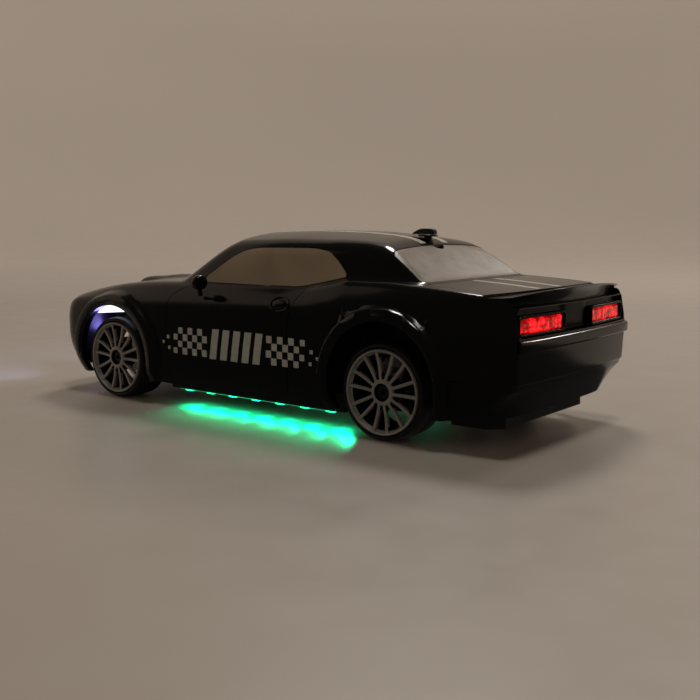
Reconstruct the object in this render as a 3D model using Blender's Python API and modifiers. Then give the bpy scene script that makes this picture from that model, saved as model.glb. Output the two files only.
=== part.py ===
# RC drift car, 1:16 class: a two-door wide-body coupe shell on a shaft-driven
# four-wheel-drive chassis. All dimensions below are millimetres; MM turns them
# into metres. +X is the car's left, the nose points to -Y, +Z is up and the
# tyres stand on z = 0.
import bpy
import bmesh
import math
import numpy as np
from mathutils import Matrix, Vector

MM = 0.001
GAP = 0.3            # clearance kept between neighbouring pieces

# ---- driving dimensions ---------------------------------------------------
WHEELBASE = 184.0
YF, YR = -98.0, 86.0             # axle positions along the car
HUB_Z = 22.5                     # axle height
TYRE_R = 22.5
RIM_R = 19.8
BARREL_R = 17.5
RIM_FACE_X = 59.8
TYRE_X0, TYRE_X1 = 39.5, 59.2
KINGPIN_X = 35.0
STEER_DEG = 25.0
ARM_B = 18.0                     # steering arm length
HORN_R = 12.0                    # servo horn length
SHELL_T = 1.5                    # moulded wall thickness of the shell
ARCH_F = (-98.0, 24.0, 28.0)     # y, z, radius of the front arch opening
ARCH_R = (86.0, 25.5, 29.6)
FLARE_F, FLARE_R = 33.8, 35.2    # outer radius of the flares
FLARE_X = 63.0
MODULE = 0.6                     # gear module
Z_PINION, Z_SPUR = 10, 32
Z_BEVEL, Z_CROWN = 10, 30
KNOB_Y = 71.5
TRAY_Z = 9.0

for o in list(bpy.data.objects):
    bpy.data.objects.remove(o, do_unlink=True)
for c in list(bpy.data.collections):
    bpy.data.collections.remove(c)

root_col = bpy.data.collections.new("rc_drift_car")
cut_col = bpy.data.collections.new("cutters")
bpy.context.scene.collection.children.link(root_col)
bpy.context.scene.collection.children.link(cut_col)

MATS = {}


def mat(name, rgb, rough, metal=0.0, alpha=1.0, emit=None):
    if name in MATS:
        return MATS[name]
    m = bpy.data.materials.new(name)
    m.use_nodes = True
    b = m.node_tree.nodes["Principled BSDF"]
    b.inputs["Base Color"].default_value = (rgb[0], rgb[1], rgb[2], 1)
    b.inputs["Roughness"].default_value = rough
    b.inputs["Metallic"].default_value = metal
    b.inputs["Alpha"].default_value = alpha
    if emit:
        b.inputs["Emission Color"].default_value = (*emit, 1)
        b.inputs["Emission Strength"].default_value = 2.0
    MATS[name] = m
    return m


# ---- small helpers ----------------------------------------------------------
def finish(name, bm, material, smooth=None, cutter=False):
    bmesh.ops.recalc_face_normals(bm, faces=bm.faces)
    me = bpy.data.meshes.new(name)
    bm.to_mesh(me)
    bm.free()
    ob = bpy.data.objects.new(name, me)
    if cutter:
        cut_col.objects.link(ob)
        ob.hide_render = True
        ob.display_type = 'WIRE'
    else:
        root_col.objects.link(ob)
        pm = material.copy()
        pm.name = name
        me.materials.append(pm)
        if smooth:
            me.shade_smooth()
            me.set_sharp_from_angle(angle=math.radians(smooth))
    return ob


def box_bm(x0, x1, y0, y1, z0, z1):
    bm = bmesh.new()
    bmesh.ops.create_cube(bm, size=1.0)
    s = Matrix.Diagonal(((x1 - x0) * MM, (y1 - y0) * MM, (z1 - z0) * MM, 1))
    t = Matrix.Translation(((x0 + x1) / 2 * MM, (y0 + y1) / 2 * MM, (z0 + z1) / 2 * MM))
    bmesh.ops.transform(bm, matrix=t @ s, verts=bm.verts)
    return bm


def box(name, material, x0, x1, y0, y1, z0, z1, bevel=0.0, cutter=False):
    ob = finish(name, box_bm(min(x0, x1), max(x0, x1), y0, y1, z0, z1), material, cutter=cutter)
    if bevel:
        add_bevel(ob, bevel)
    return ob


def add_bevel(ob, w, seg=1, angle=40):
    m = ob.modifiers.new("Bevel", 'BEVEL')
    m.width = w * MM
    m.segments = seg
    m.limit_method = 'ANGLE'
    m.angle_limit = math.radians(angle)
    return m


AXM = {'X': Matrix.Rotation(math.radians(90), 4, 'Y'),
       'Y': Matrix.Rotation(math.radians(-90), 4, 'X'),
       'Z': Matrix.Identity(4)}


def cyl_bm(r, a0, a1, axis, c, seg=24, r2=None):
    bm = bmesh.new()
    bmesh.ops.create_cone(bm, cap_ends=True, segments=seg, radius1=r * MM,
                          radius2=(r if r2 is None else r2) * MM, depth=(a1 - a0) * MM)
    bmesh.ops.transform(bm, matrix=AXM[axis], verts=bm.verts)
    mid = (a0 + a1) / 2
    pos = {'X': (mid, c[0], c[1]), 'Y': (c[0], mid, c[1]), 'Z': (c[0], c[1], mid)}[axis]
    bmesh.ops.translate(bm, vec=Vector(pos) * MM, verts=bm.verts)
    return bm


def cyl(name, material, r, a0, a1, axis, c, seg=24, cutter=False, smooth=40, r2=None):
    return finish(name, cyl_bm(r, a0, a1, axis, c, seg, r2), material, smooth, cutter)


def boolean(ob, tool, op='DIFFERENCE'):
    m = ob.modifiers.new(op.title(), 'BOOLEAN')
    m.operation = op
    m.object = tool
    m.solver = 'EXACT'
    return m


def cut(ob, *tools):
    for t in tools:
        boolean(ob, t)
    return ob


def join(ob, *tools):
    for t in tools:
        boolean(ob, t, 'UNION')
    return ob


def turned(name, material, profile, centre, axis='X', seg=32, smooth=35, cutter=False, phase=0.0):
    """A ring or shaft turned about `axis` through `centre`. profile is a closed
    loop of (along, radius) points, or an open one that starts and ends on the
    axis."""
    bm = bmesh.new()
    closed = profile[0][1] > 1e-6
    vs = [bm.verts.new((r * MM, 0, a * MM)) for a, r in profile]
    for i in range(len(vs) - 1):
        bm.edges.new((vs[i], vs[i + 1]))
    if closed:
        bm.edges.new((vs[-1], vs[0]))
    rot = Matrix.Rotation(phase, 4, 'Z')
    bmesh.ops.transform(bm, matrix=rot, verts=bm.verts)
    geom = list(bm.verts) + list(bm.edges)
    bmesh.ops.spin(bm, geom=geom, cent=(0, 0, 0), axis=(0, 0, 1), angle=2 * math.pi,
                   steps=seg, use_merge=True)
    bmesh.ops.remove_doubles(bm, verts=bm.verts, dist=1e-7)
    bmesh.ops.dissolve_degenerate(bm, edges=bm.edges, dist=1e-7)
    bmesh.ops.transform(bm, matrix=AXM[axis], verts=bm.verts)
    bmesh.ops.translate(bm, vec=Vector(centre) * MM, verts=bm.verts)
    return finish(name, bm, material, smooth, cutter)


def prism_bm(pts, lo, hi, plane='XY'):
    """Extrude a closed 2D outline. plane XY extrudes in z, YZ in x, XZ in y."""
    bm = bmesh.new()
    put = {'XY': lambda p, h: (p[0], p[1], h), 'YZ': lambda p, h: (h, p[0], p[1]),
           'XZ': lambda p, h: (p[0], h, p[1])}[plane]
    vs = [bm.verts.new(Vector(put(p, lo)) * MM) for p in pts]
    f = bm.faces.new(vs)
    r = bmesh.ops.extrude_face_region(bm, geom=[f])
    mv = [g for g in r['geom'] if isinstance(g, bmesh.types.BMVert)]
    d = Vector(put((0, 0), hi)) - Vector(put((0, 0), lo))
    bmesh.ops.translate(bm, vec=d * MM, verts=mv)
    return bm


def prism(name, material, pts, lo, hi, plane='XY', cutter=False, smooth=None):
    return finish(name, prism_bm(pts, lo, hi, plane), material, smooth, cutter)


def add_bm(dst, src):
    me = bpy.data.meshes.new("tmp")
    src.to_mesh(me)
    dst.from_mesh(me)
    src.free()
    bpy.data.meshes.remove(me)


def mirror_pts(half):
    return half + [(-x, y) for x, y in reversed(half)]


# ---- the body's outer surface ----------------------------------------------
def pchip(xs, vs):
    xs, vs = np.array(xs, float), np.array(vs, float)
    h = np.diff(xs)
    d = np.diff(vs) / h
    m = np.zeros(len(xs))
    same = d[:-1] * d[1:] > 0
    m[1:-1] = np.where(same, 2 * d[:-1] * d[1:] / np.where(same, d[:-1] + d[1:], 1), 0)
    m[0], m[-1] = d[0], d[-1]

    def f(x):
        x = np.clip(x, xs[0], xs[-1])
        i = np.clip(np.searchsorted(xs, x) - 1, 0, len(xs) - 2)
        t = (x - xs[i]) / h[i]
        return (vs[i] * (1 + 2 * t) * (1 - t) ** 2 + m[i] * h[i] * t * (1 - t) ** 2
                + vs[i + 1] * t * t * (3 - 2 * t) + m[i + 1] * h[i] * t * t * (t - 1))
    return f


def smax(a, b, k):
    h = np.maximum(k - np.abs(a - b), 0) / k
    return np.maximum(a, b) + h * h * k / 4


def smin(a, b, k):
    return -smax(-a, -b, k)


# half width in plan, tumblehome of the side, shoulder crease and top edge heights
W_PLAN = pchip([-160, -148, -138, -120, -98, -55, 0, 50, 86, 120, 142, 152, 160],
               [54.8, 56.6, 58.2, 59.3, 59.8, 59.8, 59.9, 60.2, 60.6, 60.2, 59.0, 58.0, 57.2])
TUMBLE = pchip([6, 12, 16, 20, 26, 36, 46, 54, 60, 72],
               [-5.0, -3.4, -2.0, -0.9, -0.3, 0.0, 0.0, -0.4, -1.3, -4.0])
Z_SHOULDER = pchip([-160, -148, -130, -98, -60, 0, 30, 60, 100, 130, 160],
                   [50.0, 51.5, 53.8, 55.6, 56.6, 57.2, 57.8, 60.2, 60.6, 59.4, 58.0])
Z_EDGE = pchip([-160, -150, -140, -128, -115, -98, -75, -55, -20, 20, 36, 50, 62, 80, 100, 120, 138, 160],
               [50.0, 53.0, 56.0, 58.6, 61.0, 63.4, 65.3, 66.0, 66.2, 66.5, 67.7, 70.2, 72.2, 72.2, 71.2, 70.0, 68.5, 66.8])
CROWN = pchip([-160, -120, -98, -60, 0, 100, 160], [0.8, 1.0, 1.4, 2.0, 1.0, 0.6, 0.9])
BULGE = pchip([-160, -122, -103, -60], [4.1, 4.0, 2.3, 1.8])
X_BELT = pchip([-90, -57, -30, 0, 40, 70, 100, 120], [46.5, 49.2, 51.0, 51.8, 51.8, 50.6, 48.2, 46.0])
Z_ROOF = pchip([-80, -60, -45, -30, -10, 15, 40, 60, 76, 95],
               [84.0, 88.0, 90.4, 92.1, 93.4, 94.0, 93.6, 92.2, 89.6, 85.0])
ROOF_CROWN = pchip([-60, 20, 78, 100], [5.6, 5.4, 2.6, 2.0])
SHOULDER_IN = pchip([-160, -98, 0, 60, 100, 132, 160], [9.0, 8.4, 8.0, 8.0, 6.6, 3.8, 2.4])
Y_NOSE = pchip([6, 14, 18, 22, 28, 34, 42, 48, 52, 56, 60, 70],
               [-140, -145, -148, -151.5, -155, -156.3, -156.5, -155.2, -153.4, -150.2, -145.2, -128])
Y_TAIL = pchip([6, 14, 20, 27, 31, 34, 40, 46, 52, 58, 66, 76],
               [143, 147.6, 150.0, 152.8, 154.1, 154.5, 154.8, 155.0, 154.8, 154.0, 153.2, 152.0])


def field(x, y, z):
    """Signed distance-like field of the solid body outline, negative inside."""
    x = np.abs(x)
    w = W_PLAN(y)
    side = x - (w + TUMBLE(z))
    zs, ze = Z_SHOULDER(y), Z_EDGE(y)
    h = np.maximum(ze - zs, 1.0)
    inn = SHOULDER_IN(y) - 0.4
    shoulder = ((x - (w - 0.4)) * h + (z - zs) * inn) / np.sqrt(h * h + inn * inn)
    bulge = BULGE(y) / (1 + np.exp((x - 17) / 1.0)) / (1 + np.exp(-(y + 127) / 1.5)) / (1 + np.exp((y + 84) / 3.0))
    top = z - (ze + CROWN(y) * (1 - (x / 54) ** 2) + bulge)
    nose = (Y_NOSE(z) + 4.2 * (x / 45) ** 2 + 6.0 * (x / 57) ** 8) - y
    tuck = 10.0 * np.clip((29.0 - z) / 14.0, 0, 1.1)
    tail = y - (Y_TAIL(z) - 4.0 * (x / 55) ** 2 - tuck * (x / 55) ** 8)
    low = smax(side, shoulder, 2.0)
    low = smax(low, top, 3.0)
    low = smax(low, nose, 7.0)
    low = smax(low, tail, 4.0)
    glass = ((x - X_BELT(y)) * 21 + (z - 66) * 9) / 22.85
    roof = z - (Z_ROOF(y) - ROOF_CROWN(y) * (x / 42) ** 2)
    screen = ((y - (-68.5 + 12 * (x / 48) ** 2 + 4.0 * (x / 43) ** 3)) * -23.7 + (z - 68.3) * 40) / 46.49
    rear = (y - (101.5 - 1.0 * (x / 46) ** 2)) * 0.5525 + (z - 71.4) * 0.8335
    cab = smax(glass, roof, 6.0)
    cab = smax(cab, screen, 3.0)
    cab = smax(cab, rear, 2.5)
    cab = np.maximum(cab, 61.0 - z)
    return smin(low, cab, 1.5)


def hit(o, d, off, lo=0.0, hi=140.0):
    """Distance along rays o + t d at which the field crosses -off (outermost)."""
    a = np.full(o.shape[0], lo)
    b = np.full(o.shape[0], hi)
    for _ in range(34):
        m = (a + b) / 2
        p = o + d * m[:, None]
        out = field(p[:, 0], p[:, 1], p[:, 2]) > -off
        b = np.where(out, m, b)
        a = np.where(out, a, m)
    return o + d * ((a + b) / 2)[:, None]


Z_SILL = pchip([-160, -146, -132, -124, -66, 50, 60, 112, 130, 146, 160],
               [17.5, 15.0, 12.6, 12.0, 11.6, 11.6, 12.0, 13.2, 14.5, 16.0, 17.5])

NY, NX, NZ = 22, 12, 4


def shell_grid(off):
    """Points of the body surface offset inwards by `off`: a wall that runs
    round the car in rows of constant height, and a top patch inside it."""
    ya, yb = -128.0, 132.0
    ys = np.concatenate([[ya - 24, ya - 17, ya - 8.5], np.linspace(ya, -58, 6)[:-1],
                         np.linspace(-58, -30, 3)[:-1], np.linspace(-30, 60, 6)[:-1],
                         np.linspace(60, 102, 4)[:-1], np.linspace(102, yb, 3), [yb + 7.5, yb + 14, yb + 20]])
    us = np.array([-1, -0.955, -0.865, -0.80, -0.73, -0.60, -0.34, 0, 0.34, 0.60, 0.73, 0.80, 0.865, 0.955, 1])
    # plan rays round the car: left side front to back, tail, right side, nose
    loop = []
    for y in ys:
        yo = min(max(y, ya), yb)
        loop.append((0.0, yo, 60.0, y - yo))
    for u in us[::-1][1:-1]:
        loop.append((0.0, yb, u * 54, 20.5))
    for y in ys[::-1]:
        yo = min(max(y, ya), yb)
        loop.append((0.0, yo, -60.0, y - yo))
    for u in us[1:-1]:
        loop.append((0.0, ya, u * 54, -25.0))
    loop = np.array(loop)
    d = np.stack([loop[:, 2], loop[:, 3], np.zeros(len(loop))], 1)
    d /= np.linalg.norm(d, axis=1)[:, None]
    rows = []
    zrow_top = 53.0
    for k in range(NZ + 1):
        f = k / NZ
        o = np.stack([loop[:, 0], loop[:, 1], np.full(len(loop), 30.0)], 1)
        if k == 0:
            p = hit(o, d, off)
            zb = Z_SILL(p[:, 1])
            o[:, 2] = zb
        else:
            zb = Z_SILL(rows[0][:, 1])
            o[:, 2] = zb + (zrow_top - zb) * f ** 0.9
        rows.append(hit(o, d, off))
    ny, nx = len(ys), len(us)
    top = rows[-1]
    L, T = top[:ny], top[ny:ny + nx - 2]
    R, Nn = top[ny + nx - 2:2 * ny + nx - 2][::-1], top[2 * ny + nx - 2:]
    front = np.concatenate([R[:1], Nn, L[:1]])
    back = np.concatenate([R[-1:], T[::-1], L[-1:]])
    G = np.zeros((ny, nx, 3))
    for j in range(ny):
        t = (L[j, 1] - L[0, 1]) / (L[-1, 1] - L[0, 1])
        for i in range(nx):
            s = (us[i] + 1) / 2
            yy = (1 - t) * front[i, 1] + t * back[i, 1]
            xx = us[i] * L[j, 0]
            G[j, i] = (xx, yy, 0)
    G[0], G[-1] = front, back
    G[:, 0], G[:, -1] = R, L
    inner = G[1:-1, 1:-1].reshape(-1, 3)
    o = np.stack([inner[:, 0], inner[:, 1], np.full(len(inner), 50.0 - off)], 1)
    dz = np.tile(np.array([0.0, 0.0, 1.0]), (len(inner), 1))
    P = hit(o, dz, off, 0.0, 60.0)
    G[1:-1, 1:-1] = P.reshape(ny - 2, nx - 2, 3)
    return rows, G, ny, nx


def shell_mesh():
    bm = bmesh.new()
    sides = []
    for off, flip in ((0.0, False), (SHELL_T, True)):
        rows, G, ny, nx = shell_grid(off)
        n = len(rows[0])
        vr = [[bm.verts.new(Vector(p) * MM) for p in r] for r in rows]
        vg = [[None] * nx for _ in range(ny)]
        top = vr[-1]
        for j in range(ny):
            vg[j][nx - 1] = top[j]
            vg[j][0] = top[ny + nx - 2 + (ny - 1 - j)]
        for i in range(1, nx - 1):
            vg[ny - 1][i] = top[ny + (nx - 2 - i)]
            vg[0][i] = top[2 * ny + nx - 2 + (i - 1)]
        for j in range(1, ny - 1):
            for i in range(1, nx - 1):
                vg[j][i] = bm.verts.new(Vector(G[j, i]) * MM)
        for k in range(len(rows) - 1):
            for i in range(n):
                bm.faces.new((vr[k][i], vr[k][(i + 1) % n], vr[k + 1][(i + 1) % n], vr[k + 1][i]))
        for j in range(ny - 1):
            for i in range(nx - 1):
                bm.faces.new((vg[j][i], vg[j + 1][i], vg[j + 1][i + 1], vg[j][i + 1]))
        sides.append(vr[0])
    a, b = sides
    n = len(a)
    for i in range(n):
        bm.faces.new((a[i], a[(i + 1) % n], b[(i + 1) % n], b[i]))
    return bm


def arc(y0, z0, r, a0, a1, n):
    return [(y0 + r * math.cos(math.radians(a0 + (a1 - a0) * i / n)),
             z0 + r * math.sin(math.radians(a0 + (a1 - a0) * i / n))) for i in range(n + 1)]


def round_ends(z0, r, foot):
    return math.degrees(math.asin((z0 - foot) / r))


def arch_outline(c, r, n=18, low=-4.0, foot=11.0):
    """The opening's circle, carried on below its centre as far as the sill."""
    y0, z0 = c
    a = round_ends(z0, r, foot)
    pts = arc(y0, z0, r, -a, 180 + a, n)
    return [(pts[0][0], low)] + pts + [(pts[-1][0], low)]


black = mat("shell_black", (0.006, 0.006, 0.007), 0.12)
shell = finish("body_shell", shell_mesh(), black, 40)

# flares round the four arches, moulded on the outside of the shell
for sgn, side in ((1, "l"), (-1, "r")):
    for (yy, zz, rr), ro, tag in ((ARCH_F, FLARE_F, "f"), (ARCH_R, FLARE_R, "r")):
        a, b = round_ends(zz, ro, 14.5), round_ends(zz, rr - 1.5, 14.5)
        outer = arc(yy, zz, ro, -a, 180 + a, 14)
        inner = arc(yy, zz, rr - 1.5, 180 + b, -b, 11)
        bm = prism_bm(outer + inner, 56.9 * sgn, FLARE_X * sgn, 'YZ')
        fl = finish("flare_" + tag + side, bm, black, cutter=True)
        add_bevel(fl, 1.2, 1, 60)
        join(shell, fl)
# arch openings
for sgn in (1, -1):
    for (yy, zz, rr), tag in ((ARCH_F, "f"), (ARCH_R, "r")):
        cut(shell, prism("arch_%s%d" % (tag, sgn), black, arch_outline((yy, zz), rr),
                         38 * sgn, 70 * sgn, 'YZ', cutter=True))


# ---- window outlines ----------------------------------------------------------
def side_low(y):
    return pchip([-40, 28, 40, 58], [66.9, 67.5, 69.3, 73.2])(np.asarray(y, float))


def side_high(y):
    return pchip([-40, -33, -20, -9, 0, 30, 42, 49, 55, 58],
                 [66.9, 71.5, 80.0, 84.6, 85.6, 86.0, 85.0, 81.2, 76.4, 73.4])(np.asarray(y, float))


def side_outline(grow, n=9):
    ys = np.linspace(-35.0 - grow, 57.0 + grow, n)
    lo = side_low(ys) - grow
    hi = np.maximum(side_high(ys) + grow, lo + 1.2)
    return ys, lo, hi


def screen_half(y):
    return np.interp(y, [-66, -29], [44.8, 37.8])


def rear_half(y):
    return np.interp(y, [74, 101], [40.2, 45.4])


def plate_from_grid(name, material, O, D, off, thick, hi=140.0):
    """A thin curved plate that follows the body surface; O and D are grids of
    ray origins and one ray direction."""
    nj, ni = O.shape[:2]
    o = O.reshape(-1, 3)
    d = np.tile(np.array(D, float), (len(o), 1))
    a = hit(o, d, off, 0.0, hi).reshape(nj, ni, 3)
    b = hit(o, d, off + thick, 0.0, hi).reshape(nj, ni, 3)
    bm = bmesh.new()
    va = [[bm.verts.new(Vector(p) * MM) for p in r] for r in a]
    vb = [[bm.verts.new(Vector(p) * MM) for p in r] for r in b]
    for j in range(nj - 1):
        for i in range(ni - 1):
            bm.faces.new((va[j][i], va[j][i + 1], va[j + 1][i + 1], va[j + 1][i]))
            bm.faces.new((vb[j][i], vb[j + 1][i], vb[j + 1][i + 1], vb[j][i + 1]))
    ring = ([(0, i) for i in range(ni)] + [(j, ni - 1) for j in range(1, nj)]
            + [(nj - 1, i) for i in range(ni - 2, -1, -1)] + [(j, 0) for j in range(nj - 2, 0, -1)])
    for k in range(len(ring)):
        p, q = ring[k], ring[(k + 1) % len(ring)]
        bm.faces.new((va[p[0]][p[1]], vb[p[0]][p[1]], vb[q[0]][q[1]], va[q[0]][q[1]]))
    return finish(name, bm, material, 40)


smoked = mat("smoked_window", (0.22, 0.20, 0.18), 0.35, 0, 0.75)
for sgn, side in ((1, "left"), (-1, "right")):
    ys, lo, hi_ = side_outline(0.0)
    out = list(zip(ys, lo)) + list(zip(ys[::-1], hi_[::-1]))
    cut(shell, prism("side_opening_" + side, black, out, 36 * sgn, 62 * sgn, 'YZ', cutter=True))
    ys, lo, hi_ = side_outline(-0.45)
    O = np.array([[(0.0, y, l + (h - l) * f) for y, l, h in zip(ys, lo, hi_)] for f in (0, .25, .5, .75, 1)])
    plate_from_grid("side_window_" + side, smoked, O, (sgn, 0, 0), 0.25, 1.0)


def plan_patch(name, material, y0, y1, half, bow, inset, nj=5, ni=8, off=0.25):
    rows = []
    for j in range(nj):
        f = j / (nj - 1)
        y = y0 + (y1 - y0) * f
        hw = float(half(y)) - inset
        rows.append([(hw * (2 * i / (ni - 1) - 1), y + bow(hw * (2 * i / (ni - 1) - 1), f), 55.0)
                     for i in range(ni)])
    return rows


def plan_opening(name, y0, y1, half, bow, n=8):
    pts = []
    for i in range(n + 1):
        x = float(half(y0)) * (2 * i / n - 1)
        pts.append((x, y0 + bow(x, 0.0)))
    for i in range(n + 1):
        x = float(half(y1)) * (1 - 2 * i / n)
        pts.append((x, y1 + bow(x, 1.0)))
    return prism(name, black, pts, 60, 104, 'XY', cutter=True)


def screen_bow(x, f):
    return 12 * (x / 48) ** 2 * (1 - f) + 4.0 * (x / 40) ** 2 * f + (6.3 - 2.6 * f) * abs(x / 43) ** 3


def rear_bow(x, f):
    return 1.5 * (x / 40) ** 2 * (1 - f) - 1.0 * (x / 46) ** 2 * f


cut(shell, plan_opening("screen_opening", -65.0, -28.2, screen_half, screen_bow),
    plan_opening("rear_opening", 76.6, 100.8, rear_half, rear_bow))
plate_from_grid("windscreen", smoked,
                np.array(plan_patch("w", None, -64.5, -28.7, screen_half, screen_bow, 0.5)), (0, 0, 1), 0.25, 1.0, 60)
plate_from_grid("rear_window", smoked,
                np.array(plan_patch("r", None, 77.1, 100.3, rear_half, rear_bow, 0.5)), (0, 0, 1), 0.25, 1.0, 60)
# relief in the rear window's top edge for the round base of the body lock
cut(bpy.data.objects["rear_window"], cyl("knob_relief", black, 6.2, 60, 104, 'Z', (0, KNOB_Y + 2), 16, cutter=True))
cut(shell, cyl("knob_hole", black, 2.5, 70, 104, 'Z', (0, KNOB_Y), 16, cutter=True))

# nose and tail openings that take the grille, the lamps and the tail panel
cut(shell, box("nose_opening", black, -51, 51, -170, -143.7, 38.5, 50.3, cutter=True),
    box("tail_opening", black, -54.2, 54.2, 146.0, 170, 51.2, 63.2, cutter=True))


def nose_y(x, z, off=0.0):
    p = hit(np.array([[x, -110.0, z]]), np.array([[0.0, -1.0, 0.0]]), off, 0, 80)
    return float(p[0, 1])


def tail_y(x, z, off=0.0):
    p = hit(np.array([[x, 110.0, z]]), np.array([[0.0, 1.0, 0.0]]), off, 0, 80)
    return float(p[0, 1])


def bowed_bar(name, material, xs, section, smooth=40, caps=True):
    """Loft of a closed (y, z) section whose points are given by section(x)."""
    bm = bmesh.new()
    rings = [[bm.verts.new(Vector((x, y, z)) * MM) for y, z in section(x)] for x in xs]
    n = len(rings[0])
    for a, b in zip(rings[:-1], rings[1:]):
        for i in range(n):
            bm.faces.new((a[i], a[(i + 1) % n], b[(i + 1) % n], b[i]))
    bm.faces.new(rings[0])
    bm.faces.new(rings[-1][::-1])
    return finish(name, bm, material, smooth)


trim = mat("trim_black", (0.012, 0.012, 0.013), 0.3)
lens_red = mat("lens_red", (0.7, 0.01, 0.03), 0.1, emit=(1.0, 0.03, 0.08))
lens_clear = mat("lens_clear", (0.75, 0.8, 0.95), 0.1, emit=(0.6, 0.7, 1.0))


def bow_n(x):
    return 4.2 * (x / 45) ** 2 + 6.0 * (x / 57) ** 8


def bow_t(x):
    return -4.0 * (x / 55) ** 2


xs = np.linspace(-32.5, 32.5, 9)
bowed_bar("front_grille", trim, xs, lambda x: [(-152.6 + bow_n(x), 38.9), (-150.9 + bow_n(x), 38.9),
                                              (-150.9 + bow_n(x), 49.9), (-152.6 + bow_n(x), 49.9)])
for sgn, side in ((1, "left"), (-1, "right")):
    xs = sgn * np.linspace(33.2, 50.5, 5)
    bowed_bar("headlamp_" + side, lens_clear, sorted(xs),
              lambda x: [(-152.9 + bow_n(x), 39.0), (-148.6 + bow_n(x) * 0.6, 39.0),
                         (-148.6 + bow_n(x) * 0.6, 49.8), (-152.9 + bow_n(x), 49.8)])
xs = np.linspace(-53.6, 53.6, 9)
bowed_bar("tail_panel", trim, xs, lambda x: [(148.9 + bow_t(x), 51.6), (150.3 + bow_t(x), 51.6),
                                            (150.3 + bow_t(x), 62.8), (148.9 + bow_t(x), 62.8)])
for sgn, side in ((1, "left"), (-1, "right")):
    xs = sorted(sgn * np.linspace(15.2, 50.6, 6))
    lamp = bowed_bar("tail_lamp_" + side, lens_red, xs,
                     lambda x: [(150.7 + bow_t(x), 52.9), (153.2 + bow_t(x), 52.9),
                                (153.2 + bow_t(x), 58.9), (150.7 + bow_t(x), 58.9)])
    add_bevel(lamp, 0.7, 1, 50)


# bumper bar that wraps the tail at its widest height
def bar_section(x):
    a = min(abs(x) / 57.5, 1.0)
    y = 156.5 - 3.0 * (x / 55) ** 2 - 1.2 * a ** 10
    yin = tail_y(min(abs(x), 53.0), 48.0) + GAP
    y = max(y, yin + 1.1)
    return [(yin, 45.3), (y - 0.8, 45.3), (y, 46.1), (y, 49.3), (y - 0.9, 50.4), (yin, 50.4)]


bowed_bar("rear_bumper_bar", trim, np.linspace(-55.0, 55.0, 13), bar_section)


# ducktail spoiler along the boot's trailing edge, set into a step in the deck
def spoiler_section(x, grow=0.0):
    a = (x / 55.0) ** 2
    yt, zt = 154.6 - 6.4 * a, 70.9 - 2.6 * a
    zd = 67.9 - 0.9 * a
    return [(yt - 13.5 - grow, 64.1 - grow), (yt - 2.6 + grow, 64.1 - grow), (yt - 1.7 + grow, 66.5),
            (yt + grow, zt + grow), (yt - 1.1, zt + 0.1 + grow), (yt - 6, zd + 1.0 + grow),
            (yt - 13.5 - grow, zd + 0.7 + grow)]


bowed_bar("rear_spoiler", black, np.linspace(-54.6, 54.6, 11), spoiler_section)


def cutter_bar(name, xs, section):
    ob = bowed_bar(name, black, xs, section)
    root_col.objects.unlink(ob)
    cut_col.objects.link(ob)
    ob.hide_render = True
    ob.display_type = 'WIRE'
    return ob


cut(shell, cutter_bar("spoiler_step", np.linspace(-66, 66, 13),
                      lambda x: [(139.6 - 5.2 * (x / 55) ** 2, 63.8), (175, 63.8), (175, 90),
                                 (139.6 - 5.2 * (x / 55) ** 2, 90)]))

# door mirrors
for sgn, side in ((1, "left"), (-1, "right")):
    bm = bmesh.new()
    bmesh.ops.create_uvsphere(bm, u_segments=12, v_segments=8, radius=1.0)
    m = Matrix.Translation(Vector((62.2 * sgn, -27.0, 67.6)) * MM) @ \
        Matrix.Diagonal((4.3 * MM, 2.9 * MM, 3.9 * MM, 1))
    bmesh.ops.transform(bm, matrix=m, verts=bm.verts)
    mirror = finish("door_mirror_" + side, bm, black, 60)
    stem = bmesh.new()
    bmesh.ops.create_cone(stem, cap_ends=True, segments=8, radius1=1.4 * MM, radius2=1.1 * MM, depth=5.6 * MM)
    bmesh.ops.transform(stem, matrix=Matrix.Translation(Vector((60.6 * sgn, -28.6, 64.2)) * MM)
                        @ Matrix.Rotation(math.radians(28 * sgn), 4, 'Y'), verts=stem.verts)
    st = finish("mirror_stem_" + side, stem, black, cutter=True)
    join(mirror, st)

# quarter-turn body lock on the roof: fin grip, round base and shaft in one moulding
grip = prism("body_lock_knob", mat("knob_black", (0.01, 0.01, 0.01), 0.45),
             [(KNOB_Y - 9.0, 92.7), (KNOB_Y + 4.2, 91.8), (KNOB_Y + 4.4, 94.6), (KNOB_Y + 2.6, 95.4),
              (KNOB_Y - 2.6, 95.5), (KNOB_Y - 6.6, 94.2)], -1.5, 1.5, 'YZ')
join(grip, cyl("knob_base", black, 5.0, 91.5, 92.7, 'Z', (0, KNOB_Y), 16, cutter=True),
     cyl("knob_shaft", black, 2.0, 80.0, 92.0, 'Z', (0, KNOB_Y), 12, cutter=True))

# ---- chassis ---------------------------------------------------------------
grey = mat("chassis_grey", (0.035, 0.035, 0.038), 0.55)
half = [(38, -140), (42, -136), (42, -131), (17, -126), (17, -81), (25, -78), (25, -64), (50, -62), (53, -58),
        (53, 55), (50, 59), (33, 61), (33, 111), (44, 114), (44, 132), (38, 138)]
inner = [(36.5, -138), (40, -135.2), (40, -132.4), (15, -127.4), (15, -79.6), (23, -76.8), (23, -62), (49.2, -60),
         (51, -57.2), (51, 54.2), (49.2, 57), (31, 59), (31, 112.4), (42, 115.4), (42, 131.2), (37.2, 136)]
tray = prism("chassis_tray", grey, mirror_pts(half), TRAY_Z, 18.0)
cut(tray, prism("tray_hollow", grey, mirror_pts(inner), TRAY_Z + 2.0, 24.0, cutter=True),
    box("battery_hatch", grey, 15, 45, -41, 31, 5, 15, cutter=True),
    box("switch_slot", grey, -27.6, -22.4, 10.5, 19.5, 5, 15, cutter=True))
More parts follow.
